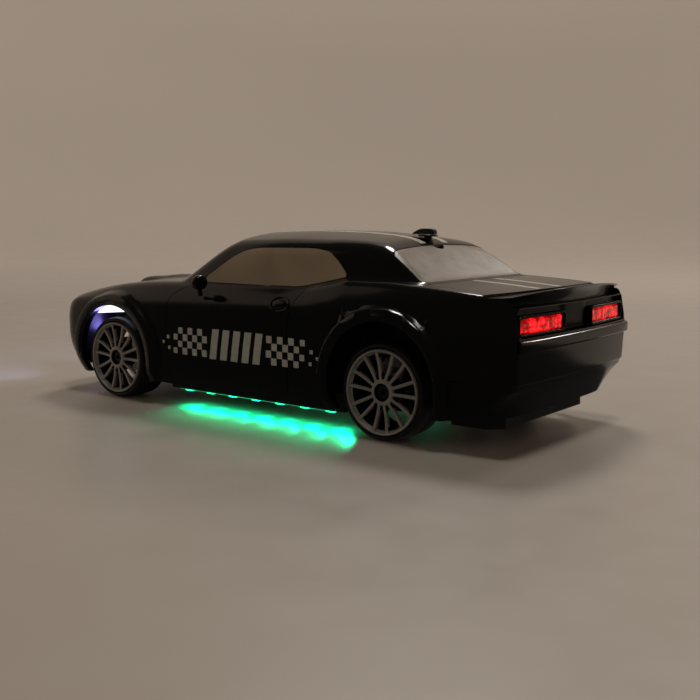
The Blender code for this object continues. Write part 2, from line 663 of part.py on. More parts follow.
door = box("battery_door", grey, 15.3, 44.7, -40.7, 30.7, 9.0, 10.7)
cut(door, cyl("door_hole", grey, 1.5, 5, 15, 'Z', (30, -36), 12, cutter=True))
turned("battery_door_screw", mat("screw_steel", (0.5, 0.5, 0.52), 0.3, 1.0),
       [(7.9, 0), (7.9, 2.4), (8.7, 2.4), (8.7, 1.1), (11.0, 1.1), (11.0, 0)], (30, -36, 0), 'Z', 12)
pack = box("battery_pack", mat("battery_blue", (0.03, 0.09, 0.35), 0.4), 16, 44, -40, 30, 11.4, 29.0, 2.0)
box("receiver_board", mat("board_green", (0.02, 0.16, 0.06), 0.45), -48, -26, -34, 50, 13.8, 15.4)
box("power_switch", mat("switch_black", (0.02, 0.02, 0.02), 0.5), -27.0, -23.0, 15.0, 19.0, 7.6, 13.2, 0.4)
for sgn, side in ((1, "left"), (-1, "right")):
    box("underglow_strip_" + side, mat("led_green", (0.1, 0.8, 0.4), 0.4, emit=(0.0, 1.0, 0.45)),
        42.0 * sgn, 50.0 * sgn, -56.0, 52.0, 7.2, 8.7)

# drive motor beside the centre shaft, its pinion in mesh with the spur gear
MOTOR_X = -(MODULE * (Z_PINION + Z_SPUR) / 2 + 0.25)
motor = cyl("drive_motor", mat("motor_can", (0.55, 0.55, 0.56), 0.28, 1.0), 10.0, 16.0, 44.5, 'Y', (MOTOR_X, HUB_Z), 20)
cut(motor, cyl("motor_bore", grey, 1.6, 36, 50, 'Y', (MOTOR_X, HUB_Z), 12, cutter=True))


def gear_outline(z, m, phase=0.0, thick=0.40, tip=0.9, root=1.2):
    """Trapezoid teeth; thick is the tooth's share of the pitch at the pitch circle."""
    pts = []
    rp = m * z / 2
    pitch = 2 * math.pi / z
    for i in range(z):
        a = phase + i * pitch
        ht, hr = pitch * thick * 0.28, pitch * thick * 0.72
        for r, da in ((rp - root * m, -hr), (rp + tip * m, -ht), (rp + tip * m, ht), (rp - root * m, hr)):
            pts.append((r * math.cos(a + da), r * math.sin(a + da)))
    return pts


def spur(name, material, z, y0, y1, cx, cz, bore, phase, seg=12):
    pts = [(cx + px, cz + pz) for px, pz in gear_outline(z, MODULE, phase)]
    g = prism(name, material, pts, y0, y1, 'XZ')
    if bore:
        cut(g, cyl(name + "_bore", material, bore, y0 - 5, y1 + 5, 'Y', (cx, cz), seg, cutter=True))
    return g


nylon = mat("nylon_white", (0.75, 0.74, 0.70), 0.45)
brass = mat("brass", (0.75, 0.56, 0.22), 0.3, 1.0)
steel = mat("shaft_steel", (0.6, 0.6, 0.62), 0.25, 1.0)
pin = spur("motor_pinion", brass, Z_PINION, 47.0, 51.0, MOTOR_X, HUB_Z, None, math.pi / Z_PINION)
join(pin, cyl("pinion_shaft", brass, 1.2, 38.0, 48.0, 'Y', (MOTOR_X, HUB_Z), 10, cutter=True))
spur("spur_gear", nylon, Z_SPUR, 47.2, 50.8, 0, HUB_Z, 1.8, 0.0)

# centre shaft with a moulded bevel pinion at each end
BEVEL_RP = MODULE * Z_BEVEL / 2
CROWN_RP = MODULE * Z_CROWN / 2
cshaft = cyl("centre_shaft", steel, 1.5, YF + CROWN_RP - 1.2, YR - CROWN_RP + 1.2, 'Y', (0, HUB_Z), 12)
for tag, yc, ph in (("f", YF + CROWN_RP, 0.0), ("r", YR - CROWN_RP, 0.0)):
    o2 = [(px, HUB_Z + pz) for px, pz in gear_outline(Z_BEVEL, MODULE, ph + math.pi / Z_BEVEL, 0.34)]
    join(cshaft, prism("bevel_" + tag, steel, o2, yc - 1.6, yc + 1.6, 'XZ', cutter=True))


def crown_gear(name, yc, phase, sgn):
    """Disc on the axle with face teeth that stand towards the centre shaft."""
    x_root, x_tip, x_back = BEVEL_RP + 1.15, BEVEL_RP - 0.35, BEVEL_RP + 4.2
    g = cyl(name, nylon, CROWN_RP + 0.9, min(sgn * x_root, sgn * x_back), max(sgn * x_root, sgn * x_back),
            'X', (yc, HUB_Z), 30)
    teeth = bmesh.new()
    pitch = 2 * math.pi / Z_CROWN
    for i in range(Z_CROWN):
        a = phase + i * pitch
        t = bmesh.new()
        bmesh.ops.create_cube(t, size=1.0)
        for v in t.verts:
            tip = v.co.x * sgn < 0
            hw = 0.20 if tip else 0.34
            r = CROWN_RP - 1.0 if v.co.y < 0 else CROWN_RP + 0.8
            v.co = Vector((sgn * (x_tip if tip else x_root + 0.3) * MM, r * MM, (hw if v.co.z > 0 else -hw) * MM))
        bmesh.ops.transform(t, matrix=Matrix.Translation(Vector((0, yc, HUB_Z)) * MM)
                            @ Matrix.Rotation(a, 4, 'X'), verts=t.verts)
        add_bm(teeth, t)
    join(g, finish(name + "_teeth", teeth, nylon, cutter=True))
    cut(g, cyl(name + "_bore", nylon, 2.3, -14, 14, 'X', (yc, HUB_Z), 14, cutter=True))
    return g


# the two crown gears face each other across the shaft, so both axles turn the same way
crown_gear("rear_crown_gear", YR, math.pi, 1)
crown_gear("front_crown_gear", YF, 0.0, -1)


def gearbox(name, y0, y1, shaft_side):
    g = box(name, grey, -10.6, 10.6, y0, y1, 11.3, 34.8, 0.0)
    wall = 1.4
    cut(g, box(name + "_hollow", grey, -9.2, 9.2, y0 + wall, y1 - wall, 5, 33.4, cutter=True),
        cyl(name + "_axle_hole", grey, 2.4, -20, 20, 'X', ((YR if y0 > 0 else YF), HUB_Z), 14, cutter=True),
        cyl(name + "_shaft_hole", grey, 1.9, *((y0 - 5, y0 + 5) if y0 > 0 else (y1 - 5, y1 + 5)), 'Y',
            (0, HUB_Z), 12, cutter=True))
    return g


gearbox("rear_gearbox", YR - 12.6, YR + 12.6, -1)
gearbox("front_gearbox", YF - 12.6, YF + 12.6, 1)

cyl("rear_axle", steel, 2.0, -53.0, 53.0, 'X', (YR, HUB_Z), 14)
fo = turned("front_output_shaft", steel,
            [(-15.8, 3.2), (-15.8, 4.2), (-11.2, 4.2), (-11.2, 2.0), (11.2, 2.0), (11.2, 4.2), (15.8, 4.2),
             (15.8, 3.2), (11.9, 3.2), (11.9, 0.6), (-11.9, 0.6), (-11.9, 3.2)], (0, YF, HUB_Z), 'X', 14)
for sgn, side in ((1, "left"), (-1, "right")):
    a0, a1 = 14.6, KINGPIN_X
    ball = []
    r = 2.2
    prof = [(a0 - r, 0)] + [(a0 - r * math.cos(t), r * math.sin(t)) for t in (0.7, 1.3, 1.9)]
    prof += [(a0 + 1.95, 1.0), (a1 - 1.95, 1.0)]
    prof += [(a1 - r * math.cos(t), r * math.sin(t)) for t in (1.24, 1.84, 2.44)] + [(a1 + r, 0)]
    prof = [(sgn * a, q) for a, q in prof]
    turned("dogbone_" + side, steel, prof, (0, YF, HUB_Z), 'X', 10, 60)

# front arms: fixed brackets that carry the steering knuckles
for sgn, side in ((1, "left"), (-1, "right")):
    pts = [(17.3, 9.0), (38.2, 9.0), (38.2, 11.6), (20.2, 11.6), (20.2, 33.4), (38.2, 33.4), (38.2, 36.0),
           (17.3, 36.0)]
    arm = prism("front_arm_" + side, grey, [(sgn * a, b) for a, b in pts], YF - 4.5, YF + 4.5, 'XZ')
    cut(arm, cyl("arm_bore_" + side, grey, 3.2, 15, 25, 'X', (YF, HUB_Z), 12, cutter=True)
        if sgn > 0 else cyl("arm_bore_" + side, grey, 3.2, -25, -15, 'X', (YF, HUB_Z), 12, cutter=True),
        cyl("arm_pivot_" + side, grey, 1.9, 5, 40, 'Z', (KINGPIN_X * sgn, YF), 12, cutter=True))

    # steering knuckle: block with trunnions, hub sleeve and rearward arm with its pin
    kn = box("knuckle_" + side, nylon, 31.4 * sgn, 40.8 * sgn, YF - 7.6, YF + 7.6, 12.2, 32.8)
    join(kn, cyl("trunnion_" + side, nylon, 1.5, 9.2, 35.8, 'Z', (KINGPIN_X * sgn, YF), 10, cutter=True),
         cyl("sleeve_" + side, nylon, 5.2, *((40.0, 46.0) if sgn > 0 else (-46.0, -40.0)), 'X', (YF, HUB_Z), 16, cutter=True),
         box("arm_" + side, nylon, 33.2 * sgn, 36.8 * sgn, YF + 6.5, YF + ARM_B + 1.8, 26.8, 28.8, cutter=True),
         cyl("arm_pin_" + side, nylon, 1.1, 28.0, 32.2, 'Z', (KINGPIN_X * sgn, YF + ARM_B), 10, cutter=True))
    lo, hi = (28.0, 38.9) if sgn > 0 else (-38.9, -28.0)
    lo2, hi2 = (38.0, 50.0) if sgn > 0 else (-50.0, -38.0)
    cut(kn, cyl("cup_bore_" + side, nylon, 5.4, lo, hi, 'X', (YF, HUB_Z), 16, cutter=True),
        cyl("hub_bore_" + side, nylon, 2.35, lo2, hi2, 'X', (YF, HUB_Z), 14, cutter=True))
    # closed turned profile: cup, flange and shaft
    turned("stub_axle_" + side, steel, [(sgn * a, max(q, 0.0)) for a, q in
                                         [(37.6, 0.0), (37.6, 3.3), (32.2, 3.3), (32.2, 4.7), (38.4, 4.7),
                                          (38.4, 2.0), (53.0, 2.0), (53.0, 0.0)]], (0, YF, HUB_Z), 'X', 14)

# steering: servo, horn and slotted tie bar
box("steering_servo", mat("servo_black", (0.03, 0.03, 0.035), 0.5), 3.6, 22.4, YF + 24.0, YF + 35.6, 11.4, 26.0, 0.6)
SERVO_X, SERVO_Y = 10.0, YF + ARM_B + HORN_R
horn = box("servo_horn", nylon, SERVO_X - 2.2, SERVO_X + 2.2, SERVO_Y - HORN_R - 1.8, SERVO_Y + 2.6, 26.6, 28.6)
join(horn, cyl("horn_pin", nylon, 1.1, 28.0, 32.2, 'Z', (SERVO_X, SERVO_Y - HORN_R), 10, cutter=True))
tie = box("tie_bar", grey, -KINGPIN_X - 2.85, KINGPIN_X + 2.85, YF + ARM_B - 4.4, YF + ARM_B + 2.8, 29.2, 31.2)
for x0 in (-KINGPIN_X, KINGPIN_X):
    cut(tie, box("tie_slot_%d" % x0, grey, x0 - 1.65, x0 + 1.65, YF + ARM_B - 3.2, YF + ARM_B + 1.5, 25, 35, cutter=True))
cut(tie, box("tie_slot_horn", grey, SERVO_X - 1.95, SERVO_X + 1.95, YF + ARM_B - 1.6, YF + ARM_B + 5.0, 25, 35, cutter=True))

# lock post under the roof: a foot screwed to the rear gearbox and a socketed column
foot = box("lock_post", grey, -6.0, 6.0, KNOB_Y - 3.6, YR + 10.0, 35.1, 37.4)
cut(join(foot, cyl("post_column", grey, 3.6, 36.5, 86.2, 'Z', (0, KNOB_Y), 14, cutter=True)),
    cyl("post_socket", grey, 2.5, 74, 95, 'Z', (0, KNOB_Y), 12, cutter=True))

# light boards at the nose and tail
pcb = mat("board_dark", (0.02, 0.09, 0.05), 0.45)
prism("headlight_board", pcb, mirror_pts([(10, 11.4), (10, 38), (47, 38), (47, 50)]), -136.6, -135.0, 'XZ')
prism("tail_light_board", pcb, mirror_pts([(9, 11.4), (9, 51), (50, 51), (50, 61)]), 134.4, 136.0, 'XZ')

# ---- wheels ----------------------------------------------------------------
silver = mat("rim_silver", (0.55, 0.54, 0.52), 0.38, 0.6)
tyre_m = mat("tyre_black", (0.012, 0.012, 0.013), 0.55)
screw_m = mat("wheel_screw_black", (0.02, 0.02, 0.02), 0.35, 0.4)
SEG = 26


def wheel(pos, sgn, yc):
    ph = math.pi / SEG
    k = 1 / math.cos(ph)              # flats, not corners, at the stated radius
    prof = [(TYRE_X0, 20.1 * k), (TYRE_X0, 21.6 * k), (TYRE_X0 + 1.2, TYRE_R * k), (TYRE_X1 - 1.2, TYRE_R * k),
            (TYRE_X1, 21.6 * k), (TYRE_X1, 20.1 * k)]
    turned("tyre_" + pos, tyre_m, [(sgn * a, q) for a, q in prof], (0, yc, HUB_Z), 'X', SEG, 40, phase=ph)
    prof = [(TYRE_X0 + 0.6, BARREL_R), (TYRE_X0 + 0.6, RIM_R), (RIM_FACE_X, RIM_R), (RIM_FACE_X, 18.2), (57.6, BARREL_R)]
    rim = turned("rim_" + pos, silver, [(sgn * a, q) for a, q in prof], (0, yc, HUB_Z), 'X', SEG, 40)
    spokes = bmesh.new()
    for i in range(7):
        for s in (-1, 1):
            t = bmesh.new()
            bmesh.ops.create_cube(t, size=1.0)
            for v in t.verts:
                outer = v.co.y > 0
                r = 18.6 if outer else 6.5
                base = s * (2.9 if outer else 1.2)
                hw = 0.95 if outer else 0.75
                v.co = Vector(((58.7 if v.co.x > 0 else 56.2) * sgn, r, base + (hw if v.co.z > 0 else -hw))) * MM
            bmesh.ops.transform(t, matrix=Matrix.Translation(Vector((0, yc, HUB_Z)) * MM)
                                @ Matrix.Rotation(2 * math.pi * (i + 0.25) / 7, 4, 'X'), verts=t.verts)
            me = finish("spoke_%s_%d%d" % (pos, i, s), t, silver, cutter=True)
            me.hide_render = True
            spk = me
            boolean(rim, spk, 'UNION')
    hub = turned("hub_" + pos, silver, [(sgn * a, q) for a, q in
                                        [(54.2, 2.35), (54.2, 4.0), (59.0, 4.0), (59.0, 7.6), (50.0, 7.6), (50.0, 2.35)]],
                 (0, yc, HUB_Z), 'X', 14, cutter=True)
    boolean(rim, hub, 'UNION')
    turned("wheel_screw_" + pos, screw_m, [(sgn * a, q) for a, q in
                                           [(53.4, 0.0), (53.4, 1.2), (54.6, 1.2), (54.6, 3.3), (57.2, 3.3), (57.8, 2.6),
                                            (57.8, 0.0)]], (0, yc, HUB_Z), 'X', 10)


for pos, sgn, yc in (("front_left", 1, YF), ("front_right", -1, YF), ("rear_left", 1, YR), ("rear_right", -1, YR)):
    wheel(pos, sgn, yc)
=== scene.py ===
import math

import bmesh
import bpy
import numpy as np
from mathutils import Matrix, Vector


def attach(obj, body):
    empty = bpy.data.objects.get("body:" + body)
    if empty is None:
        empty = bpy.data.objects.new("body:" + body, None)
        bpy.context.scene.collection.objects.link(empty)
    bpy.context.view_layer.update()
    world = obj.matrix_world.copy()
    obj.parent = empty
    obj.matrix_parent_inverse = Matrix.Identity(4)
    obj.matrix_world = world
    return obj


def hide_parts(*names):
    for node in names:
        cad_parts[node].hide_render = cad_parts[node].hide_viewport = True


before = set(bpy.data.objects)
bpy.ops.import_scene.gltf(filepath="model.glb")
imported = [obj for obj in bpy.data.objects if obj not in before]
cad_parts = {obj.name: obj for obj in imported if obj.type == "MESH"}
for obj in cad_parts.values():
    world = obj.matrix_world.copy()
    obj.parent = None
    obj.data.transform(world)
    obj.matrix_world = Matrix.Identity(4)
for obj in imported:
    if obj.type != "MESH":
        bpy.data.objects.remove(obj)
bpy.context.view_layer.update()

MM = 0.001
YF, YR = -98.0, 86.0
HUB_Z = 22.5
DG = bpy.context.evaluated_depsgraph_get
FLOOR_COL = (0.30, 0.262, 0.225, 1)


# ------------------------------------------------------------------ camera
def camera():
    cam = bpy.data.cameras.new("camera")
    ob = bpy.data.objects.new("camera", cam)
    bpy.context.scene.collection.objects.link(ob)
    f = Vector((-0.78497, -0.60494, -0.13368)).normalized()
    r = Vector((-0.6106, 0.7919, 0.0017)).normalized()
    u = r.cross(f).normalized()
    r = f.cross(u).normalized()
    m = Matrix(((r.x, u.x, -f.x, 0.42298), (r.y, u.y, -f.y, 0.34854), (r.z, u.z, -f.z, 0.10247), (0, 0, 0, 1)))
    ob.matrix_world = m
    cam.sensor_width = 36.0
    cam.lens = 1007.6 / 700 * 36.0
    cam.clip_start = 0.01
    cam.clip_end = 30
    bpy.context.scene.camera = ob


camera()


# --------------------------------------------------------------- materials
def nodes_of(name):
    m = bpy.data.materials.new(name)
    m.use_nodes = True
    nt = m.node_tree
    return m, nt, nt.nodes["Principled BSDF"]


def noise(nt, scale, detail=4.0, rough=0.55, coord=None, dist=0.0):
    n = nt.nodes.new("ShaderNodeTexNoise")
    n.inputs["Scale"].default_value = scale
    n.inputs["Detail"].default_value = detail
    n.inputs["Roughness"].default_value = rough
    n.inputs["Distortion"].default_value = dist
    nt.links.new(coord if coord else obj_coord(nt), n.inputs["Vector"])
    return n.outputs["Fac"]


def obj_coord(nt):
    for n in nt.nodes:
        if n.type == 'TEX_COORD':
            return n.outputs["Object"]
    return nt.nodes.new("ShaderNodeTexCoord").outputs["Object"]


def remap(nt, v, a, b, lo, hi):
    n = nt.nodes.new("ShaderNodeMapRange")
    n.inputs["From Min"].default_value = a
    n.inputs["From Max"].default_value = b
    n.inputs["To Min"].default_value = lo
    n.inputs["To Max"].default_value = hi
    nt.links.new(v, n.inputs["Value"])
    return n.outputs["Result"]


def ramp(nt, v, stops):
    n = nt.nodes.new("ShaderNodeValToRGB")
    cr = n.color_ramp
    while len(cr.elements) < len(stops):
        cr.elements.new(0.5)
    for e, (p, c) in zip(cr.elements, stops):
        e.position = p
        e.color = (c[0], c[1], c[2], 1)
    nt.links.new(v, n.inputs["Fac"])
    return n.outputs["Color"]


def math_node(nt, op, a, b=None):
    n = nt.nodes.new("ShaderNodeMath")
    n.operation = op
    for i, v in enumerate((a, b)):
        if v is None:
            continue
        if isinstance(v, (int, float)):
            n.inputs[i].default_value = v
        else:
            nt.links.new(v, n.inputs[i])
    return n.outputs[0]


def bump(nt, bsdf, height, strength, distance):
    n = nt.nodes.new("ShaderNodeBump")
    n.inputs["Strength"].default_value = strength
    n.inputs["Distance"].default_value = distance
    nt.links.new(height, n.inputs["Height"])
    nt.links.new(n.outputs["Normal"], bsdf.inputs["Normal"])


def stock(name, col, rough=0.4, spread=0.08, metal=0.0, var=0.18, scale=120.0, bump_amt=0.0, bump_scale=900.0,
          coat=0.0, coat_rough=0.05, spec=0.5, col2=None):
    """Moulded plastic, paint or metal: tone and roughness drift, fine bump."""
    m, nt, b = nodes_of(name)
    c = np.array(col)
    lo, hi = tuple(c * (1 - var)), tuple(np.minimum(c * (1 + var), 1)) if col2 is None else col2
    f = noise(nt, scale, 5.0, 0.6)
    nt.links.new(ramp(nt, f, [(0.3, lo), (0.7, hi)]), b.inputs["Base Color"])
    g = noise(nt, scale * 0.35, 6.0, 0.65, dist=0.4)
    nt.links.new(remap(nt, g, 0.3, 0.7, max(rough - spread, 0.02), rough + spread), b.inputs["Roughness"])
    b.inputs["Metallic"].default_value = metal
    b.inputs["Specular IOR Level"].default_value = spec
    if coat:
        b.inputs["Coat Weight"].default_value = coat
        b.inputs["Coat Roughness"].default_value = coat_rough
    if bump_amt:
        bump(nt, b, noise(nt, bump_scale, 3.0, 0.5), bump_amt, 0.0004)
    return m


def glow(m, col, strength, scale=None, lo=0.2, hi=1.0):
    nt = m.node_tree
    b = nt.nodes["Principled BSDF"]
    b.inputs["Emission Color"].default_value = (*col, 1)
    if scale is None:
        b.inputs["Emission Strength"].default_value = strength
    else:
        f = noise(nt, scale, 2.0, 0.5)
        nt.links.new(remap(nt, f, 0.35, 0.65, lo * strength, hi * strength), b.inputs["Emission Strength"])
    return m


M = {}
M["body"] = stock("gloss_black_body", (0.0022, 0.0020, 0.0019), 0.15, 0.035, var=0.1, scale=35, bump_amt=0.02,
                  bump_scale=260, spec=0.42)
M["inner"] = stock("inner_black", (0.003, 0.003, 0.003), 0.45, 0.1, var=0.25, scale=90, bump_amt=0.1)
M["trim"] = stock("satin_black_trim", (0.003, 0.003, 0.003), 0.30, 0.06, var=0.2, scale=90, bump_amt=0.06, spec=0.12)
M["knob"] = stock("knob_black", (0.010, 0.010, 0.010), 0.42, 0.08, var=0.25, scale=200, bump_amt=0.15)
M["rim"] = stock("rim_silver", (0.36, 0.345, 0.325), 0.42, 0.07, metal=0.55, var=0.08, scale=300, bump_amt=0.1,
                 bump_scale=2600)
# dark material for the rim's recesses and hub hole: painted shade
M["barrel"] = stock("rim_barrel_dark", (0.006, 0.006, 0.006), 0.5, 0.1, var=0.3, scale=160, bump_amt=0.1)
M["screw"] = stock("black_oxide", (0.02, 0.02, 0.021), 0.32, 0.1, metal=0.6, var=0.3, scale=500, bump_amt=0.15)
M["decal"] = stock("graphic_silver_grey", (0.37, 0.365, 0.34), 0.32, 0.08, var=0.1, scale=400, bump_amt=0.03)
M["stripe"] = stock("stripe_pale_grey", (0.40, 0.37, 0.34), 0.25, 0.06, var=0.08, scale=300, bump_amt=0.02)
M["gap"] = stock("seam_black", (0.003, 0.003, 0.003), 0.7, 0.1, var=0.2, scale=200)
M["chassis"] = stock("chassis_plastic", (0.006, 0.006, 0.0065), 0.55, 0.1, var=0.2, scale=150, bump_amt=0.35, bump_scale=1800)
M["steel"] = stock("ground_steel", (0.6, 0.6, 0.62), 0.25, 0.08, metal=1.0, var=0.1, scale=600, bump_amt=0.1)
M["nylon"] = stock("natural_nylon", (0.74, 0.73, 0.69), 0.42, 0.08, var=0.06, scale=250, bump_amt=0.1)
M["brass"] = stock("brass", (0.75, 0.56, 0.22), 0.28, 0.08, metal=1.0, var=0.1, scale=500, bump_amt=0.05)
M["pcb"] = stock("solder_mask", (0.015, 0.11, 0.05), 0.38, 0.08, var=0.35, scale=420, bump_amt=0.2, bump_scale=1500)
M["wrap"] = stock("battery_wrap", (0.02, 0.07, 0.34), 0.32, 0.08, var=0.15, scale=80, bump_amt=0.2, bump_scale=150)
M["can"] = stock("motor_can", (0.52, 0.52, 0.54), 0.3, 0.1, metal=1.0, var=0.12, scale=300, bump_amt=0.12)


def tyre_material():
    m, nt, b = nodes_of("tyre_rubber")
    f = noise(nt, 260, 6.0, 0.65)
    nt.links.new(ramp(nt, f, [(0.3, (0.004, 0.004, 0.004)), (0.7, (0.009, 0.0088, 0.0085))]), b.inputs["Base Color"])
    nt.links.new(remap(nt, noise(nt, 70, 5.0, 0.7), 0.3, 0.7, 0.42, 0.66), b.inputs["Roughness"])
    bump(nt, b, noise(nt, 2200, 4.0, 0.6), 0.35, 0.0003)
    return m


M["tyre"] = tyre_material()


def window_material(name, dark, light, rough):
    """Frosted smoked sheet: milky base, a slow wavy tone that is a painted reflection, fine grain."""
    m, nt, b = nodes_of(name)
    # painted reflection: slow wavy light and dark tone in the base colour
    wavy_reflection = noise(nt, 26, 2.0, 0.4, dist=0.6)
    nt.links.new(ramp(nt, wavy_reflection, [(0.32, dark), (0.68, light)]), b.inputs["Base Color"])
    nt.links.new(remap(nt, noise(nt, 180, 5.0, 0.6), 0.3, 0.7, rough - 0.07, rough + 0.08), b.inputs["Roughness"])
    b.inputs["Specular IOR Level"].default_value = 0.6
    b.inputs["Transmission Weight"].default_value = 0.12
    b.inputs["IOR"].default_value = 1.5
    bump(nt, b, noise(nt, 1500, 4.0, 0.6), 0.12, 0.0003)
    return m


M["side_glass"] = window_material("frosted_side_window", (0.15, 0.11, 0.062), (0.23, 0.175, 0.11), 0.42)
M["rear_glass"] = window_material("frosted_rear_window", (0.13, 0.103, 0.075), (0.21, 0.172, 0.13), 0.36)


def lamp_material(name, base, emit, strength):
    m, nt, b = nodes_of(name)
    v = nt.nodes.new("ShaderNodeTexVoronoi")
    v.inputs["Scale"].default_value = 520
    nt.links.new(obj_coord(nt), v.inputs["Vector"])
    nt.links.new(ramp(nt, v.outputs["Distance"], [(0.0, tuple(min(c * 1.6, 1) for c in base)), (0.8, base)]),
                 b.inputs["Base Color"])
    f = noise(nt, 170, 3.0, 0.6)
    g = remap(nt, v.outputs["Distance"], 0.0, 0.8, 1.0, 0.25)
    e = remap(nt, f, 0.42, 0.62, 0.12, 1.0)
    nt.links.new(math_node(nt, 'MULTIPLY', math_node(nt, 'MULTIPLY', g, e), strength), b.inputs["Emission Strength"])
    b.inputs["Emission Color"].default_value = (*emit, 1)
    nt.links.new(remap(nt, noise(nt, 300, 3.0, 0.5), 0.3, 0.7, 0.05, 0.16), b.inputs["Roughness"])
    b.inputs["Coat Weight"].default_value = 0.15
    return m


M["lens_red"] = lamp_material("lens_red", (0.40, 0.002, 0.004), (1.0, 0.006, 0.01), 3.4)
M["lens_white"] = lamp_material("lens_clear", (0.62, 0.66, 0.8), (0.62, 0.68, 1.0), 3.0)
# arch plate material: painted light, an emissive glow standing for headlamp light on the inside of the shell, not a
# lamp
M["arch_glow"] = glow(stock("arch_painted_light", (0.7, 0.7, 0.9), 0.4, 0.05), (0.86, 0.84, 1.0), 2.6, 90, 0.55, 1.0)
M["led_green"] = glow(stock("led_green", (0.25, 0.9, 0.55), 0.3, 0.05), (0.0, 1.0, 0.42), 3.0, 300, 0.7, 1.0)
# the strip's circuit board glows green: painted light from the LEDs, the board is no lamp
M["led_board"] = glow(stock("led_strip_board_painted_glow", (0.5, 0.75, 0.6), 0.4, 0.05), (0.0, 1.0, 0.42), 1.2, 200, 0.3, 1.0)


# ---------------------------------------------------------------- meshes
def put(name, me, mat, body, reps=(), shown=True):
    ob = bpy.data.objects.new(name, me)
    bpy.context.scene.collection.objects.link(ob)
    if mat is not None:
        me.materials.clear()
        me.materials.append(mat)
    if body:
        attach(ob, body)
        if reps:
            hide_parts(*reps)
    return ob


def mesh(name, V, F, angle=35.0, smooth=True):
    me = bpy.data.meshes.new(name)
    V = np.asarray(V, float) * MM
    me.from_pydata(V.tolist(), [], [tuple(int(i) for i in f) for f in F])
    bm = bmesh.new()
    bm.from_mesh(me)
    bmesh.ops.recalc_face_normals(bm, faces=bm.faces)
    bm.to_mesh(me)
    bm.free()
    if smooth:
        me.shade_smooth()
        me.set_sharp_from_angle(angle=math.radians(angle))
    return me


def turned(profile, n=96, closed=True):
    """Ring of (axial, radius) points round X; returns vertices and faces."""
    P = np.array(profile, float)
    k = len(P)
    a = np.arange(n) * 2 * math.pi / n
    V = np.stack([np.repeat(P[None, :, 0], n, 0), P[None, :, 1] * np.cos(a)[:, None],
                  P[None, :, 1] * np.sin(a)[:, None]], 2).reshape(-1, 3)
    F = []
    last = k if closed else k - 1
    for i in range(n):
        for j in range(last):
            j2 = (j + 1) % k
            F.append((i * k + j, i * k + j2, ((i + 1) % n) * k + j2, ((i + 1) % n) * k + j))
    return V, F


def capped(profile, n=96):
    """As turned, for an open profile whose ends lie on the axis."""
    P = [(p[0], max(p[1], 0.0)) for p in profile]
    body = [p for p in P if p[1] > 0]
    V, F = turned(body, n, closed=False)
    k = len(body)
    V = list(map(tuple, V))
    for end, idx in ((P[0], 0), (P[-1], k - 1)):
        c = len(V)
        V.append((end[0], 0, 0))
        for i in range(n):
            F.append((i * k + idx, ((i + 1) % n) * k + idx, c))
    return np.array(V), F


def loft(rings, cap=True, closed=True):
    """Rings: list of (m,3) arrays of equal length."""
    m = len(rings[0])
    V = np.concatenate(rings)
    F = []
    last = m if closed else m - 1
    for a in range(len(rings) - 1):
        for i in range(last):
            j = (i + 1) % m
            F.append((a * m + i, a * m + j, (a + 1) * m + j, (a + 1) * m + i))
    if cap:
        F.append(tuple(range(m))[::-1])
        F.append(tuple(range((len(rings) - 1) * m, len(rings) * m)))
    return V, F


def prism(pts, lo, hi, plane):
    pts = np.array(pts, float)
    out = []
    for c in (lo, hi):
        q = np.zeros((len(pts), 3))
        if plane == 'YZ':
            q[:, 0], q[:, 1], q[:, 2] = c, pts[:, 0], pts[:, 1]
        elif plane == 'XY':
            q[:, 0], q[:, 1], q[:, 2] = pts[:, 0], pts[:, 1], c
        else:
            q[:, 0], q[:, 1], q[:, 2] = pts[:, 0], c, pts[:, 1]
        out.append(q)
    return loft(out)


def box_vf(x0, x1, y0, y1, z0, z1):
    return prism([(x0, y0), (x1, y0), (x1, y1), (x0, y1)], z0, z1, 'XY')


def merge(parts):
    V, F, n = [], [], 0
    for v, f in parts:
        V.append(np.asarray(v, float))
        F += [tuple(i + n for i in g) for g in f]
        n += len(v)
    return np.concatenate(V), F


def temp(name, vf):
    ob = bpy.data.objects.new(name, mesh(name, *vf, smooth=False))
    bpy.context.scene.collection.objects.link(ob)
    return ob


def boolean(ob, tools, op='DIFFERENCE'):
    """Applies each tool (a V, F pair) with the manifold solver."""
    for k, vf in enumerate(tools):
        t = temp("tool%d" % k, vf)
        md = ob.modifiers.new("b", 'BOOLEAN')
        md.operation = op
        md.solver = 'MANIFOLD'
        md.object = t
        bpy.context.view_layer.update()
        me = bpy.data.meshes.new_from_object(ob.evaluated_get(DG()))
        ob.modifiers.clear()
        if len(me.polygons) == 0 or len(me.polygons) == len(ob.data.polygons):
            print("boolean had no effect", ob.name, k, len(me.polygons))
        old = ob.data
        ob.data = me
        bpy.data.meshes.remove(old)
        tm = t.data
        bpy.data.objects.remove(t)
        bpy.data.meshes.remove(tm)
    return ob


def sharpen(me, angle=35.0):
    me.shade_smooth()
    me.set_sharp_from_angle(angle=math.radians(angle))


def bevelled(name, vf, mat, body, width, seg=2, slot=None, reps=(), angle=40, keep=35):
    ob = put(name, mesh(name, *vf, smooth=False), mat, body, reps)
    md = ob.modifiers.new("bevel", 'BEVEL')
    md.width = width * MM
    md.segments = seg
    md.limit_method = 'ANGLE'
    md.angle_limit = math.radians(angle)
    bpy.context.view_layer.update()
    me = bpy.data.meshes.new_from_object(ob.evaluated_get(DG()))
    ob.modifiers.clear()
    ob.data = me
    sharpen(me, keep)
    return ob


